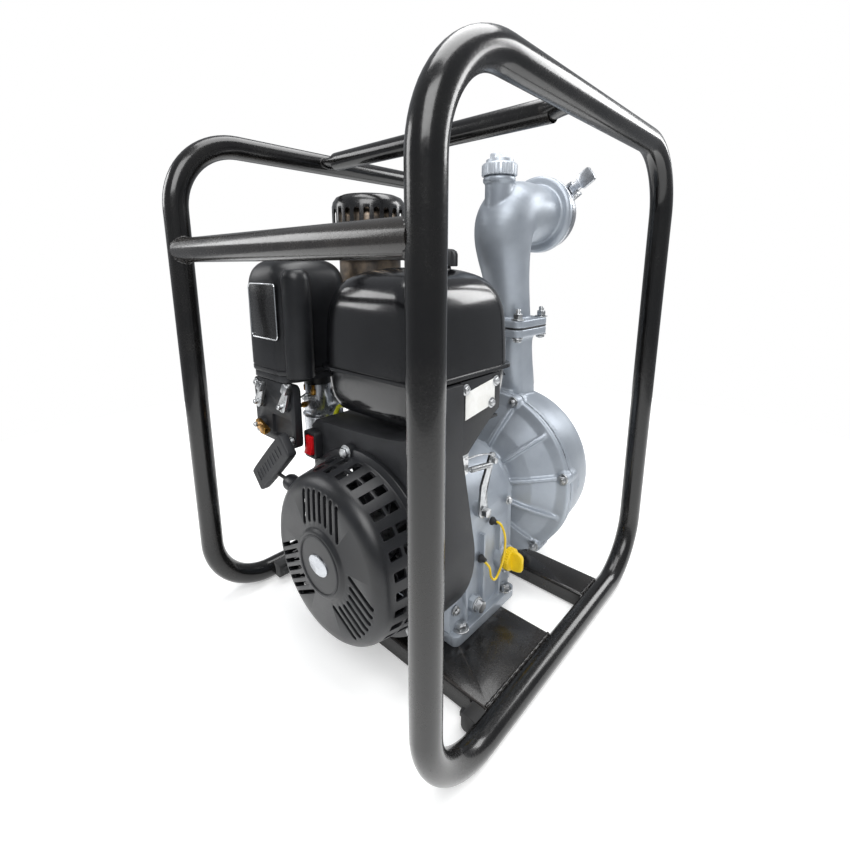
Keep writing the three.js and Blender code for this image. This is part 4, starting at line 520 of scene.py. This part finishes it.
def recoil_pieces():
    shell = along_y(lathe([(r, y) for r, y in (
        (0, FACE - 4), (30, FACE - 4), (35, FACE - 3.8), (37.5, FACE - 2.8), (39, FACE - 0.8), (41, FACE + 0.2),
        (78, FACE + 1), (85, FACE + 2.4), (90.5, FACE + 6), (94, FACE + 10), (96, FACE + 15), (102, FAN_FRONT - 10),
        (102.6, FAN_FRONT - 8), (RIM_R - 1, FAN_FRONT - 6.6), (RIM_R, FAN_FRONT - 5.6), (RIM_R, FAN_FRONT + 0),
        (99.4, FAN_FRONT), (93.3, FACE + 15), (88, FACE + 8), (77, FACE + 3.8), (0, FACE + 2.4)) ], 120))
    louvre_cut = []
    for sector in (90, 210, 330):
        for k in range(-3, 4):
            offset = 9.5 * k
            start = math.sqrt(max((HUB_R + 7) ** 2 - (abs(offset) + 2.5) ** 2, 26 ** 2))
            end = math.sqrt(83 ** 2 - (abs(offset) + 2.5) ** 2)
            slot = prism(round_rect(start, offset - 2.5, end, offset + 2.5, 2.4, 5), FACE - 8, FACE + 12, "Y")
            louvre_cut.append(turned(slot, sector))
    side_cut = []
    for i in range(30):
        if abs(i * 12 - 144) < 14:
            continue
        for y0, y1 in ((FACE + 17, FACE + 31), (FACE + 34.5, FAN_FRONT - 12.5)):
            slot = prism(round_rect(y0, -4.8, y1, 4.8, 1.6, 3), 84, RIM_R + 6, "X")
            side_cut.append(turned(slot, 12 * i))
    rope = Matrix.Rotation(math.radians(-175), 3, "Y")
    along = lambda part: ([tuple(rope @ (Vector(p) + Vector((0, FACE + 21, -50)))) for p in part[0]], part[1])
    guide = along(along_x(lathe([(4, 78), (10, 78), (10, 92), (8.5, 96), (6, 98), (4, 98)], 40)))
    shell = worked(shell, [merge(*louvre_cut), merge(*side_cut)])
    ears = []
    for degrees in (100, 32, -38, 196):
        ears.append(turned(prism(arc(RIM_R - 3, 0, 9, -100, 100, 12) + [(RIM_R - 14, 9), (RIM_R - 14, -9)],
                                 FAN_FRONT - 8.5, FAN_FRONT, "Y"), degrees))
    piece("recoil_shell", merge(shell, guide, *ears), "recoil_housing", material=SATIN, bevel=0.7, angle=40)
    piece("recoil_bolts", bolts([(math.cos(math.radians(d)) * (RIM_R - 3), FAN_FRONT - 8.6,
                                  math.sin(math.radians(d)) * (RIM_R - 3)) for d in (100, 32, -38, 196)],
                                (0, -1, 0), 11, 6), body="frame", slot="bright_steel", bevel=0.3)
    # A moulded rim on the hub and a small plain oval plate at its middle.
    rim = along_y(lathe([(31, -216.8), (31, -217.4), (31.8, -218.2), (33, -218.2), (33.8, -217.4),
                         (33.8, -216.8)], 96))
    piece("hub_rim", rim, body="frame", slot="gloss_plastic", material=FINISH["matte_plastic"], bevel=0)
    oval = lathe([(0, 216.8), (16, 216.8), (16, 217.9), (15, 218.4), (0, 218.4)], 64)
    plate = ([(px, -pz, py * 0.7) for px, py, pz in oval[0]], oval[1])
    piece("hub_plate", plate, body="frame", slot="machined_aluminium", bevel=0)

    tilt = math.radians(42)
    rows = [(-50, 5), (-49, 2.4), (-46, 0.8), (-30, 0.2), (0, 0), (30, 0.2), (46, 0.8), (49, 2.4), (50, 5)]
    rings = []
    for z, inset in flowing(rows, 3):
        outline = round_rect(inset, -6.5 + inset / 2.6, 32 - inset, 6.5 - inset / 2.6, max(3.2 - inset / 3, 1.2), 5)
        rings.append([(x, y, z) for x, y in outline])
    bar = skin(rings)
    ribs = [moved(prism(round_rect(9, -7.2, 23, 7.2, 2, 3), -1.1, 1.1), (0, 0, z)) for z in range(-36, 37, 9)]
    bar = merge(bar, *ribs)
    spin = Matrix.Rotation(tilt, 3, "Y")
    bar = along(([tuple(spin @ Vector(p) + Vector((118, 0, 0))) for p in bar[0]], bar[1]))
    piece("grip_bar", bar, "pull_grip", bevel=0.4)
    strand = along(tube([(x, 0.25 * math.sin(x * 2.2), 0.25 * math.cos(x * 2.2)) for x in np.arange(-78, 122, 1.0)],
                        2.1, 14))
    piece("starter_cord", strand, "starter_rope", material=BRAID, bevel=0, angle=60)


def blower_outline(inset):
    left, right, radius = -98 + inset, 94 - inset, 113 - inset
    bottom, seam = 140, 192
    points = arc(0, 0, radius, 147.6, 372.6, 64)
    points += [(right, 112), (right, seam - 2 - inset), (84.5 + inset, seam - 2 - inset), (84 + inset, bottom + 19),
               (78 + inset, bottom + 5 - inset), (66, bottom - 2 - inset)]
    for k in range(1, 13):
        t = k / 12
        points.append(((1 - t) ** 2 * 66 + 2 * t * (1 - t) * (right - 50) + t * t * (left + 10),
                       (1 - t) ** 2 * (bottom - 2 - inset) + 2 * t * (1 - t) * (bottom - 10 - inset)
                       + t * t * (bottom - 14 - inset)))
    return points + [(left, bottom - 24 - inset)]


def blower_pieces():
    rear = -92.3
    outside = prism(blower_outline(0), FAN_FRONT + 0.3, rear, "Y")
    inside = prism(blower_outline(3), FAN_FRONT + 3.3, rear + 5, "Y")
    mouth = moved(along_y(lathe([(0, -6), (92, -6), (92, 8), (0, 8)], 96)), (0, FAN_FRONT, 0))
    body = worked(outside, [inside, mouth])
    lip = [turned(prism([(108, -140), (112.6, -140), (112.6, -96), (108, -96)], -5, 5, "Z"), d)
           for d in range(215, 330, 23)]
    piece("blower_scroll", merge(body, *lip), "blower_housing", bevel=1.0)
    refined("side_cowl", bevel=0.8)
    cowl = [(92.4, -84, 182), (92.4, -28, 182), (92.4, -36, 158)]
    piece("cowl_screws", bolts([(89.3, y, z) for _, y, z in cowl], (1, 0, 0), 8, 4), body="frame",
          slot="bright_steel", bevel=0.25)


# ---- Fuel tank, air cleaner and controls --------------------------------------------------------------
def level_rings(rows, inset=0.0, steps=9):
    return [[(x, y, z) for x, y in round_rect(x0 + inset, y0 + inset, x1 - inset, y1 - inset, max(r - inset, 1),
                                              steps)]
            for z, x0, x1, y0, y1, r in rows]


def tank_pieces():
    left, right, front, rear = -92, 88, -150, 25
    bottom, seam, top = 140, 192, 308
    lower = flowing([(bottom, 24, 30), (bottom + 2.5, 17, 33), (bottom + 8, 11, 34), (bottom + 20, 6.5, 34),
                     (seam - 14, 5, 33), (seam - 0.6, 4.6, 32)], 3)
    lip = [(seam, 0.6, 28.5), (seam + 0.5, 0, 28), (seam + 3.6, 0, 28), (seam + 4.1, 0.6, 28.5)]
    upper = flowing([(seam + 4.8, 3.4, 31), (seam + 30, 3.6, 33), (top - 58, 4.8, 34), (top - 40, 7, 36),
                     (top - 24, 12.5, 38), (top - 12, 22, 40), (top - 4.5, 37, 39), (top - 1.2, 52, 34),
                     (top, 66, 24)], 4)
    rows = [(z, left + d, right - d, front + d, rear - d, r) for z, d, r in [*lower, *lip, *upper]]
    neck = moved(lathe([(0, top - 6), (23, top - 6), (21.5, top - 0.5), (21, top + 2), (21, top + 8),
                        (0, top + 8)], 64),
                 (22, -62, 0))
    piece("tank_shell", merge(skin(level_rings(rows)), neck), "fuel_tank", bevel=0, angle=38)
    seat = top + 1.3
    profile = [(0, top + 8.4), (21.4, top + 8.4), (21.4, seat), (28.2, seat), (29, seat + 1), (29, seat + 13),
               (27.6, seat + 16.4), (24, seat + 18.6), (17, seat + 19.2), (16, seat + 20.4), (0, seat + 20.9)]
    cap = worked(lathe(profile, 96), [merge(*[moved(lathe([(0, seat - 2), (3.1, seat - 2), (3.1, seat + 16),
                 (1.5, seat + 19), (0, seat + 19)], 20), (30.4 * math.cos(a), 30.4 * math.sin(a), 0))
                 for a in circle(18)])])
    piece("tank_cap", moved(cap, (22, -62, 0)), "fuel_cap", bevel=0.4)


def cleaner_pieces():
    left, right, front, rear, low = -205, -108, -176, -72, 178
    rows = [(0, 1.6, 23), (1, 0.3, 24), (3, 0, 24), (6, 0, 24), (6.4, 0.9, 24), (8.4, 0.9, 24), (8.8, 0, 24)]
    rows += [tuple(r) for r in flowing([(10, 0, 24), (60, 0, 24), (104, 0.4, 25), (122, 2.6, 27), (132, 7.4, 29),
                                        (137.6, 14, 30), (139.6, 22, 28), (140, 30, 22)], 4)]
    body = skin(level_rings([(low + h, left + d, right - d, front + d, rear - d, r) for h, d, r in rows]))
    column = moved(lathe([(0, low), (16, low), (17, low + 1), (17, 294), (15.4, 301), (12, 305), (6, 306),
                          (0, 306)], 48),
                   (right + 4, front + 17, 0))
    piece("cleaner_cover", merge(body, column), "air_cleaner_cover", material=SATIN, bevel=0, angle=36)
    x0, x1, z0, z1 = left + 22, right - 12, low + 44, low + 112
    plate = prism(round_rect(x0, z0, x1, z1, 6), -177.1, -176.2, "Y")
    piece("cleaner_plate", plate, "badge_plate", bevel=0.3)
    ring = [(x, -177.0, z) for x, z in round_rect(x0 + 1, z0 + 1, x1 - 1, z1 - 1, 5.4, 10)]
    piece("plate_rim", tube(ring, 0.9, 10, looped=True), body="frame", slot="machined_aluminium", material=FOIL,
          bevel=0, angle=60)
    knob = [lathe([(0, 318), (9, 318), (9.6, 319), (9.6, 324), (8.4, 326), (0, 326.4)], 40),
            prism(round_rect(-9, -2, 9, 2, 1.8), 326, 331)]
    piece("cleaner_knob", moved(merge(*knob), ((left + right) / 2, (front + rear) / 2, 0)), body="frame",
          slot="matte_plastic", bevel=0.5)


def control_pieces():
    for name in ("air_cleaner_base", "control_panel", "switch_body", "engine_switch", "carburettor"):
        refined(name, bevel=0.7)
    for name in ("choke_lever", "throttle_lever", "fuel_valve_lever"):
        refined(name, bevel=0.5)
    small = [bolts([(-188, -172.4, 160), (-110, -172.4, 98), (-188, -172.4, 96)], (0, -1, 0), 7, 4),
             bolts([(-176, -176.4, 138), (-118, -176.4, 142), (-180, -176.4, 106)], (0, -1, 0), 6, 9)]
    piece("control_screws", merge(*small), body="frame", slot="bright_steel", bevel=0.2)
    springs = [coil((-150, -166, 156), (-122, -150, 120), 3.4, 0.55, 12), coil((-128, -150, 146), (-128, -104, 134),
                                                                              2.6, 0.45, 16)]
    rods = [tube([(-118, -158, 146), (-124, -140, 150), (-132, -118, 140), (-138, -100, 134)], 1.1, 10)]
    piece("carburettor_linkage", merge(*springs, *rods), body="frame", slot="bright_steel", bevel=0, angle=60)
    jets = [moved(lathe([(0, 0), (3.2, 0), (3.2, 7), (2, 8), (2, 13), (0, 13)], 20), p)
            for p in ((-152, -122, 146), (-126, -128, 145))]
    needle = moved(along_y(lathe([(0, -16), (2.6, -16), (2.6, -9), (4, -8), (4, 0), (0, 0)], 20)), (-146, -124, 128))
    piece("brass_jets", merge(needle, *jets), body="frame", slot="brass_fitting", bevel=0.3)
    hose = flowing([(-62, -98, 136.6), (-70, -100, 133), (-98, -106, 131), (-105, -110, 118), (-112, -112, 106.4),
                    (-117.2, -112, 105)], 6)
    piece("fuel_line", tube(hose, 3.1, 16), "fuel_hose", material=HOSE, bevel=0, angle=60)
    clips = [tube([(-62 + 3.7 * math.cos(a), -98 + 3.7 * math.sin(a), 134.4) for a in circle(24)],
                  0.6, 8, looped=True)]
    piece("hose_clips", merge(*clips), body="frame", slot="bright_steel", bevel=0, angle=60)


# ---- Muffler ---------------------------------------------------------------------------------------
def muffler_pieces():
    x, y, r = -148, -5, 44
    low, high, bead = 200, 388, 276
    can = lathe([(0, low), (r - 9, low), (r - 4, low + 1.5), (r - 1, low + 5), (r, low + 10), (r, bead - 1),
                 (r + 2, bead + 1), (r + 2, bead + 7), (r, bead + 9), (r, high - 12), (r - 1.5, high - 6),
                 (r - 5, high - 1.5), (r - 10, high), (0, high)], 72)
    pipe = lathe([(0, 126), (13, 126), (13, low + 2), (0, low + 2)], 32)
    spout = along_y(lathe([(9.5, 26), (11, 26), (11, -26), (0, -26), (0, 20), (9.5, 20)], 32))
    spout = moved(spout, (x, y + r, low + 38))
    piece("muffler_can", merge(moved(can, (x, y, 0)), moved(pipe, (x + 24, y + 10, 0)), spout), "muffler",
          material=HOT_STEEL, bevel=0, angle=40)
    low, lid, g = high - 70, high + 18, 52
    profile = [(g, low), (g, lid - 16), (g - 1.6, lid - 10), (g - 6, lid - 4), (g - 14, lid - 0.6),
               (g - 20, lid), (17, lid),
               (14.5, lid - 1.2), (12.5, lid - 5), (8, lid - 5.4), (8, lid - 7), (13.5, lid - 7), (16.5, lid - 2),
               (g - 20, lid - 1.8), (g - 8, lid - 5), (g - 3, lid - 12), (g - 1.8, lid - 17), (g - 1.8, low)]
    tools = []
    slots, vents = 24, 10
    for i in range(slots):
        slot = prism(round_rect(low + 9, -3.9, lid - 20, 3.9, 3.6, 5), g - 8, g + 6, "X")
        slot = ([(px, pz, py) for px, py, pz in slot[0]], slot[1])
        tools.append(turned(slot, 360 / slots * i, "Z"))
    for i in range(vents):
        vent = prism(round_rect(21, -3.2, 35, 3.2, 3, 5), lid - 9, lid + 4)
        tools.append(turned(vent, 360 / vents * i, "Z"))
    shell = worked(lathe(profile, 144), [merge(*tools)])
    piece("guard_shell", moved(shell, (x, y, 0)), "muffler_guard", bevel=0.3)


# ---- Engine --------------------------------------------------------------------------------------
def engine_pieces():
    for name, width in (("cylinder_block", 1.3), ("crankcase_cover", 1.2), ("cylinder_head", 0.9),
                        ("valve_cover", 1.4),
                        ("spark_plug", 0.3), ("plug_cap", 0.6), ("governor_lever", 0.5), ("oil_drain_plug", 0.4)):
        refined(name, bevel=width)
    tilt = math.radians(60)
    up = Vector((-math.sin(tilt), 0, math.cos(tilt)))
    across = Vector((math.cos(tilt), 0, math.sin(tilt)))
    on_cylinder = lambda u, v, w: tuple(across * u + Vector((0, v - 26, 0)) + up * w)
    cover = [on_cylinder(a * 32, b * 27, 162) for a in (-1, 1) for b in (-1, 1)]
    head = [on_cylinder(a * 38, b * 42, 158.2) for a in (-1, 1) for b in (-1, 1)]
    piece("head_bolts", bolts(cover + head, up, 10, 6.5), body="frame", slot="bright_steel", bevel=0.25)
    feet = [(a * 81.6, b, -122.6) for a in (-1, 1) for b in (-74, 22)]
    piece("foot_bolts", bolts(feet, (0, 0, 1), 13, 8), body="frame", slot="bright_steel", bevel=0.3)
    case = [(79, y, z) for y, z in ((-80, -24), (-80, -96), (30, -96), (30, 6))]
    piece("case_bolts", bolts([(77.2, y, z) for _, y, z in case], (1, 0, 0), 8, 5), body="frame", slot="bright_steel",
          bevel=0.25)
    # Governor linkage: a thin rod and a long light spring run forward under the tank and swing with their lever.
    rod = tube(flowing([(84.6, -18, 82), (86.6, -30, 92), (86.8, -52, 98), (84, -74, 99)], 5), 1.1, 10)
    spring = coil((84.6, -20, 76), (86.2, -76, 86), 3.0, 0.5, 22)
    bracket = prism(round_rect(-82, 78, -66, 108, 3), 79, 81.6, "X")
    piece("governor_linkage", merge(rod, spring), body=BODY_OF["governor_lever"], slot="bright_steel", bevel=0,
          angle=50)
    piece("governor_bracket", bracket, body="frame", slot="bright_steel", bevel=0, angle=50)

    lead = flowing([(77.5, -8, -8), (91, -8, -8), (96, -4, -28), (95, -6, -58), (92, -16, -80), (92, -27, -72),
                    (91, -31, -56), (77.5, -31, -50)], 8)
    piece("sensor_wire", tube(lead, 1.5, 12), "oil_sensor_lead", bevel=0, angle=60)
    sockets = [moved(along_x(lathe([(0, 77), (5.4, 77), (5.4, 80), (3.6, 82), (2.6, 86), (0, 86)], 28)), (0, py, pz))
               for py, pz in ((-8, -8), (-31, -50))]
    piece("wire_grommets", merge(*sockets), body="frame", slot="rubber", bevel=0.4)

    x0 = 86.3
    flutes = merge(*[moved(along_x(lathe([(0, x0 - 2), (1.5, x0 - 2), (1.5, x0 + 12), (0, x0 + 12)], 12)),
                           (0, 15.4 * math.cos(a), 15.4 * math.sin(a))) for a in circle(28)])
    cap = worked(along_x(lathe([(0, x0), (14.2, x0), (15, x0 + 0.8), (15, x0 + 8), (13.6, x0 + 9.4),
                                (0, x0 + 9.8)], 84)),
                 [flutes])
    wing_rows = flowing([(x0 + 6, 4.4, 14.8), (x0 + 12, 3.4, 14.6), (x0 + 18, 3.0, 13.6), (x0 + 22, 2.9, 11.6),
                         (x0 + 23.8, 2.2, 9)], 4)
    wing = skin([[(x, py, pz) for py, pz in round_rect(-half, -wide, half, wide, half * 0.96, 6)]
                 for x, half, wide in wing_rows])
    piece("dipstick_cap", moved(merge(cap, wing), (0, 18, -70)), "oil_dipstick", bevel=0.3)

    x = 89.3
    label = prism([(-84, 148), (-30, 156), (-30, 186), (-84, 178)], x, x + 0.8, "X")
    piece("plain_label", label, "serial_label", bevel=0.15)


# ---- Pump ----------------------------------------------------------------------------------------
RIM = 128
BOLT_TURNS = [12 + 60 * i for i in range(6)]


def pump_pieces():
    y0, face = 58.3, 110
    dish = along_y(lathe([(r, y) for r, y in (
        (20, y0), (50, y0), (52.5, y0 + 2), (57, y0 + 10), (84, y0 + 22), (112, face - 12), (126, face - 8.5),
        (RIM, face - 7), (RIM, face), (116, face), (70, y0 + 24), (20, y0 + 24))], 96))
    web = [(46, y0 + 3), (52, y0 + 0.6)] + [(52 + 70 * t, y0 + 0.6 + 24 * t + 17 * t * t) for t in
                                            np.linspace(0.1, 1, 10)] + [(112, face - 4), (46, face - 18)]
    ribs = around(([(x, y, z) for x, y, z in prism(web, -2.8, 2.8)[0]], prism(web, -2.8, 2.8)[1]), 12, 12)
    lugs = around(moved(along_y(lathe([(0, face - 14), (9, face - 14), (9.5, face - 0.2), (0, face - 0.2)], 32)),
                        (RIM - 4, 0, 0)), 6, 12)
    adapter = worked(merge(dish, ribs, lugs), voxel=1.5, relax=4)
    piece("adapter_casting", adapter, "pump_adapter", bevel=0, angle=50)
    rim_bolts = [((RIM - 4) * math.cos(math.radians(d)), face - 13.8, (RIM - 4) * math.sin(math.radians(d)))
                 for d in BOLT_TURNS]
    piece("rim_bolts", bolts(rim_bolts, (0, -1, 0), 10, 6), body="frame", slot="bright_steel", bevel=0.25)

    front, rear = 112, 205
    bowl = along_y(lathe([(r, y) for r, y in flowing([
        (0, rear), (50, rear), (84, rear - 0.6), (98, rear - 3.4), (110, rear - 10), (117, rear - 20),
        (120.5, 160), (122, 140),
        (122, front)], 4)] + [(0, front)], 120))
    rim = along_y(lathe([(0, front), (RIM, front), (RIM, front + 8), (0, front + 8)], 120))
    lugs = around(moved(along_y(lathe([(0, front), (9, front), (8.6, front + 13), (0, front + 13)], 32)),
                        (RIM - 4, 0, 0)), 6, 12)
    duct = skin([[(px, py, z) for px, py in round_rect(-a, c, a, d, r, 8)] for z, a, c, d, r in flowing([
        (70, 30, 122, 186, 16), (130, 30, 120, 182, 17), (170, 29, 114, 176, 18), (200, 29.5, 112, 172, 18),
        (212, 33, 109, 175, 17)], 4)])
    top, dy = 222, 142
    flange = prism(round_rect(-42, dy - 42, 42, dy + 42, 12, 8), top - 12, top)
    saddle = block(-34, 34, front + 2, front + 34, -135.2, -104)
    swell = around(skin([[(118 + 6 * math.cos(a), 148 + k, 9 * math.sin(a)) for a in circle(20)]
                         for k in (0, 1)]), 1)
    boss = turned(moved(lathe([(0, -131), (12, -131), (12.6, -106), (0, -106)], 36), (0, 134, 0)), 24)
    bore = moved(lathe([(0, 150), (27, 150), (27, top + 5), (0, top + 5)], 64), (0, dy, 0))
    port = along_y(lathe([(0, rear - 8), (32, rear - 8), (32, rear + 4), (0, rear + 4)], 64))
    casing = worked(merge(bowl, rim, lugs, duct, flange, saddle, boss, swell), voxel=1.7, relax=4)
    casing = worked(casing, [bore, port])
    piece("casing_casting", casing, "pump_casing", bevel=0, angle=50)

    corners = [(a * 33, dy + b * 33) for a in (-1, 1) for b in (-1, 1)]
    under = bolts([(px, py, top - 12.2) for px, py in corners], (0, 0, -1), 11, 6.5)
    over = bolts([(px, py, 235.2) for px, py in corners], (0, 0, 1), 12, 9)
    studs = merge(*[moved(lathe([(0, 236), (3.6, 236)] + [(3.6 + 0.35 * (k % 2), 244 + 0.7 * k) for k in range(8)]
                                + [(3, 250.4), (0, 250.4)], 20), (px, py, 0)) for px, py in corners])
    piece("duct_studs", merge(under, over, studs), body="frame", slot="bright_steel", bevel=0.25)

    seat, out = 224, 386
    stations = flowing([(dy - 2, seat + 4, 3, 31), (dy - 6, seat + 26, 7, 31), (dy - 12, seat + 52, 10, 32),
                        (dy - 18, seat + 76, 10, 34), (dy - 24, seat + 98, 8, 37), (dy - 28, seat + 120, -4, 40),
                        (dy - 25, seat + 141, -24, 42), (dy - 11, seat + 157, -52, 42.6), (dy + 10, out, -82, 42.4),
                        (178, out, -90, 42), (192, out, -90, 42), (204, out, -90, 44)], 4)

    def elbow(shrink, low, high):
        rings = []
        for s, (y, z, lean, r) in enumerate(stations):
            a = math.radians(lean)
            slide = -low if s == 0 else high if s == len(stations) - 1 else 0
            y, z = y - slide * math.sin(a), z + slide * math.cos(a)
            rings.append([((r - shrink) * math.cos(t), y + (r - shrink) * math.sin(t) * math.cos(a),
                           z + (r - shrink) * math.sin(t) * math.sin(a)) for t in circle(56)])
        return skin(rings)

    foot = prism(round_rect(-42, dy - 42, 42, dy + 42, 12, 8), seat, seat + 11)
    disc = moved(along_y(lathe([(0, 200), (52, 200), (56, 203), (56, 212), (0, 212)], 96)), (0, 0, out))
    filler = moved(lathe([(0, out - 10), (19, out - 10), (19, out + 56), (0, out + 56)], 56), (0, 100, 0))
    collar = moved(lathe([(0, out + 34), (22, out + 34), (22, out + 40), (0, out + 40)], 56), (0, 100, 0))
    gusset = block(-4.5, 4.5, 100, 142, out + 20, out + 38)
    shell = worked(merge(elbow(0, 0, 6), foot, disc, filler, collar, gusset), voxel=1.6, relax=4)
    bores = [elbow(5, 20, 20), moved(lathe([(0, out), (14, out), (14, out + 60), (0, out + 60)], 40), (0, 100, 0)),
             moved(lathe([(0, seat - 5), (27, seat - 5), (27, seat + 16), (0, seat + 16)], 56), (0, dy, 0))]
    for bore in bores:
        shell = worked(shell, [bore])
    piece("elbow_casting", shell, "discharge_elbow", bevel=0, angle=50)
    for name in ("discharge_gasket", "casing_gasket"):
        refined(name, bevel=0.2)

    z0 = out + 56.3
    skirt = lathe([(20, z0 - 14), (23.2, z0 - 14), (24, z0 - 13), (24, z0 - 1), (22.6, z0 + 1), (18.6, z0 + 3),
                   (17.6, z0 + 11),
                   (16, z0 + 13), (0, z0 + 13), (0, z0), (20, z0)], 72)
    notches = merge(*[moved(lathe([(0, z0 - 16), (1.7, z0 - 16), (1.7, z0 + 4), (0, z0 + 4)], 14),
                            (24.6 * math.cos(a), 24.6 * math.sin(a), 0)) for a in circle(24)])
    recess = merge(block(-30, -4, -30, 30, z0 + 6.5, z0 + 20), block(4, 30, -30, 30, z0 + 6.5, z0 + 20))
    cap = worked(skirt, [notches, recess])
    piece("filler_cap", moved(cap, (0, 100, 0)), "priming_cap", bevel=0.5)

    c0, c1 = 212.3, 234.3
    ring = along_y(lathe([(r, y) for r, y in ((36, c0), (55.2, c0), (56, c0 + 0.8), (56, c0 + 4.4),
                                              (55, c0 + 5.2), (51.5, c0 + 7),
                          (51, c0 + 8), (51, c1 - 0.8), (50.2, c1), (47.4, c1), (40, c1 - 4), (36, c1 - 8))], 96))
    seal = along_y(lathe([(r, y) for r, y in ((36.4, c1 - 8.6), (41, c1 - 4.6), (41.5, c1 - 3.4), (38, c1 - 6),
                                              (36, c1 - 7.6))],
                         72))
    ears = merge(*[turned(merge(*[prism([(46, c0 + 5), (64, c0 + 5), (64, c1 - 1), (46, c1 - 1)], s * 8.5 - 2,
                                        s * 8.5 + 2)
                                  for s in (-1, 1)]), flip) for flip in (0, 180)])
    pins = merge(*[turned(moved(lathe([(0, -12), (3.4, -12), (3.4, 12), (0, 12)], 20), (58, c0 + 11, 0)), flip)
                   for flip in (0, 180)])
    whole = moved(turned(merge(ring, ears), 35), (0, 0, out))
    piece("coupling_ring", whole, "outlet_coupling", bevel=0.5)
    piece("coupling_pins", moved(turned(pins, 35), (0, 0, out)), body="frame", slot="bright_steel", bevel=0.4)
    piece("coupling_seal", moved(turned(seal, 35), (0, 0, out)), body="frame", slot="rubber", bevel=0)
    for name, flip in (("cam_arm_right", 0), ("cam_arm_left", 180)):
        blade = prism(arc(58, c0 + 11, 5, 90, 270, 10) + [(92, c0 + 5)] + arc(92, c0 + 8, 3, -90, 90, 6)
                      + [(66, c0 + 14)], -6, 6)
        paddle = prism(round_rect(72, -11, 95, 11, 4, 5), c0 + 5, c0 + 10, "Z")
        paddle = ([(x, z, y) for x, y, z in paddle[0]], paddle[1])
        piece(name + "_lever", moved(turned(merge(blade, paddle), flip + 35), (0, 0, out)), name, bevel=0.8)

    s0 = rear + 0.3
    plate = prism(round_rect(-50, -50, 50, 50, 14, 8), s0, s0 + 10, "Y")
    thread = [(44, s0 + 12), (41, s0 + 14), (39, s0 + 15)]
    for k in range(5):
        thread += [(39, s0 + 16 + 3.9 * k), (41, s0 + 17 + 3.9 * k), (41, s0 + 18 + 3.9 * k), (39, s0 + 19 + 3.9 * k)]
    thread += [(38.6, s0 + 35.2), (37.6, s0 + 36), (32, s0 + 36)]
    nozzle = along_y(lathe([(r, y) for r, y in [(32, s0), (44, s0)] + thread], 96))
    plate = worked(plate, [along_y(lathe([(0, s0 - 3), (32, s0 - 3), (32, s0 + 40), (0, s0 + 40)], 64))])
    piece("suction_casting", merge(plate, nozzle), "suction_port", bevel=0.6)
    piece("suction_bolts", bolts([(a * 37, s0 + 10, b * 37) for a in (-1, 1) for b in (-1, 1)], (0, 1, 0), 12, 7),
          body="frame", slot="bright_steel", bevel=0.3)
    for name in ("suction_flap", "pump_drain_plug"):
        refined(name, bevel=0.4)


# ---- Studio --------------------------------------------------------------------------------------
def studio():
    card = build("floor", ([(x, y, 0) for x, y in arc(0, 0, 1300, 0, 358, 179)], [list(range(180))]),
                 Vector((0, 0, -0.4)))
    card.data.materials.append(CARD)
    world = bpy.data.worlds.new("soft_room")
    bpy.context.scene.world = world
    world.use_nodes = True
    tree = world.node_tree
    # The room lights the object dimly; the eye sees it as a white sweep.
    room = tree.nodes["Background"]
    room.inputs["Color"].default_value = (0.92, 0.95, 1, 1)
    room.inputs["Strength"].default_value = 0.34
    sweep = add(tree, "ShaderNodeBackground", values={"Color": (1, 1, 1, 1), "Strength": 1.0})
    ray = add(tree, "ShaderNodeLightPath")
    pick = add(tree, "ShaderNodeMixShader", {0: ray.outputs["Is Camera Ray"], 1: room.outputs["Background"],
                                             2: sweep.outputs["Background"]})
    tree.links.new(pick.outputs["Shader"], tree.nodes["World Output"].inputs["Surface"])
    for name, place, size, power in (("key", (1.1, -1.5, 2.0), 1.5, 46), ("fill", (-1.9, -1.3, 1.3), 1.0, 16),
                                     ("top", (0.0, 0.3, 2.3), 1.7, 44), ("rim", (1.0, 1.8, 1.4), 0.9, 22)):
        data = bpy.data.lights.new(name, "AREA")
        data.size = size
        data.energy = power
        lamp = bpy.data.objects.new(name, data)
        lamp.location = place
        lamp.rotation_euler = (Vector((0, 0, 0.3)) - Vector(place)).to_track_quat("-Z", "Y").to_euler()
        bpy.context.scene.collection.objects.link(lamp)
    bpy.context.scene.view_settings.view_transform = "Standard"


frame_pieces()
recoil_pieces()
blower_pieces()
tank_pieces()
cleaner_pieces()
control_pieces()
muffler_pieces()
engine_pieces()
pump_pieces()
studio()
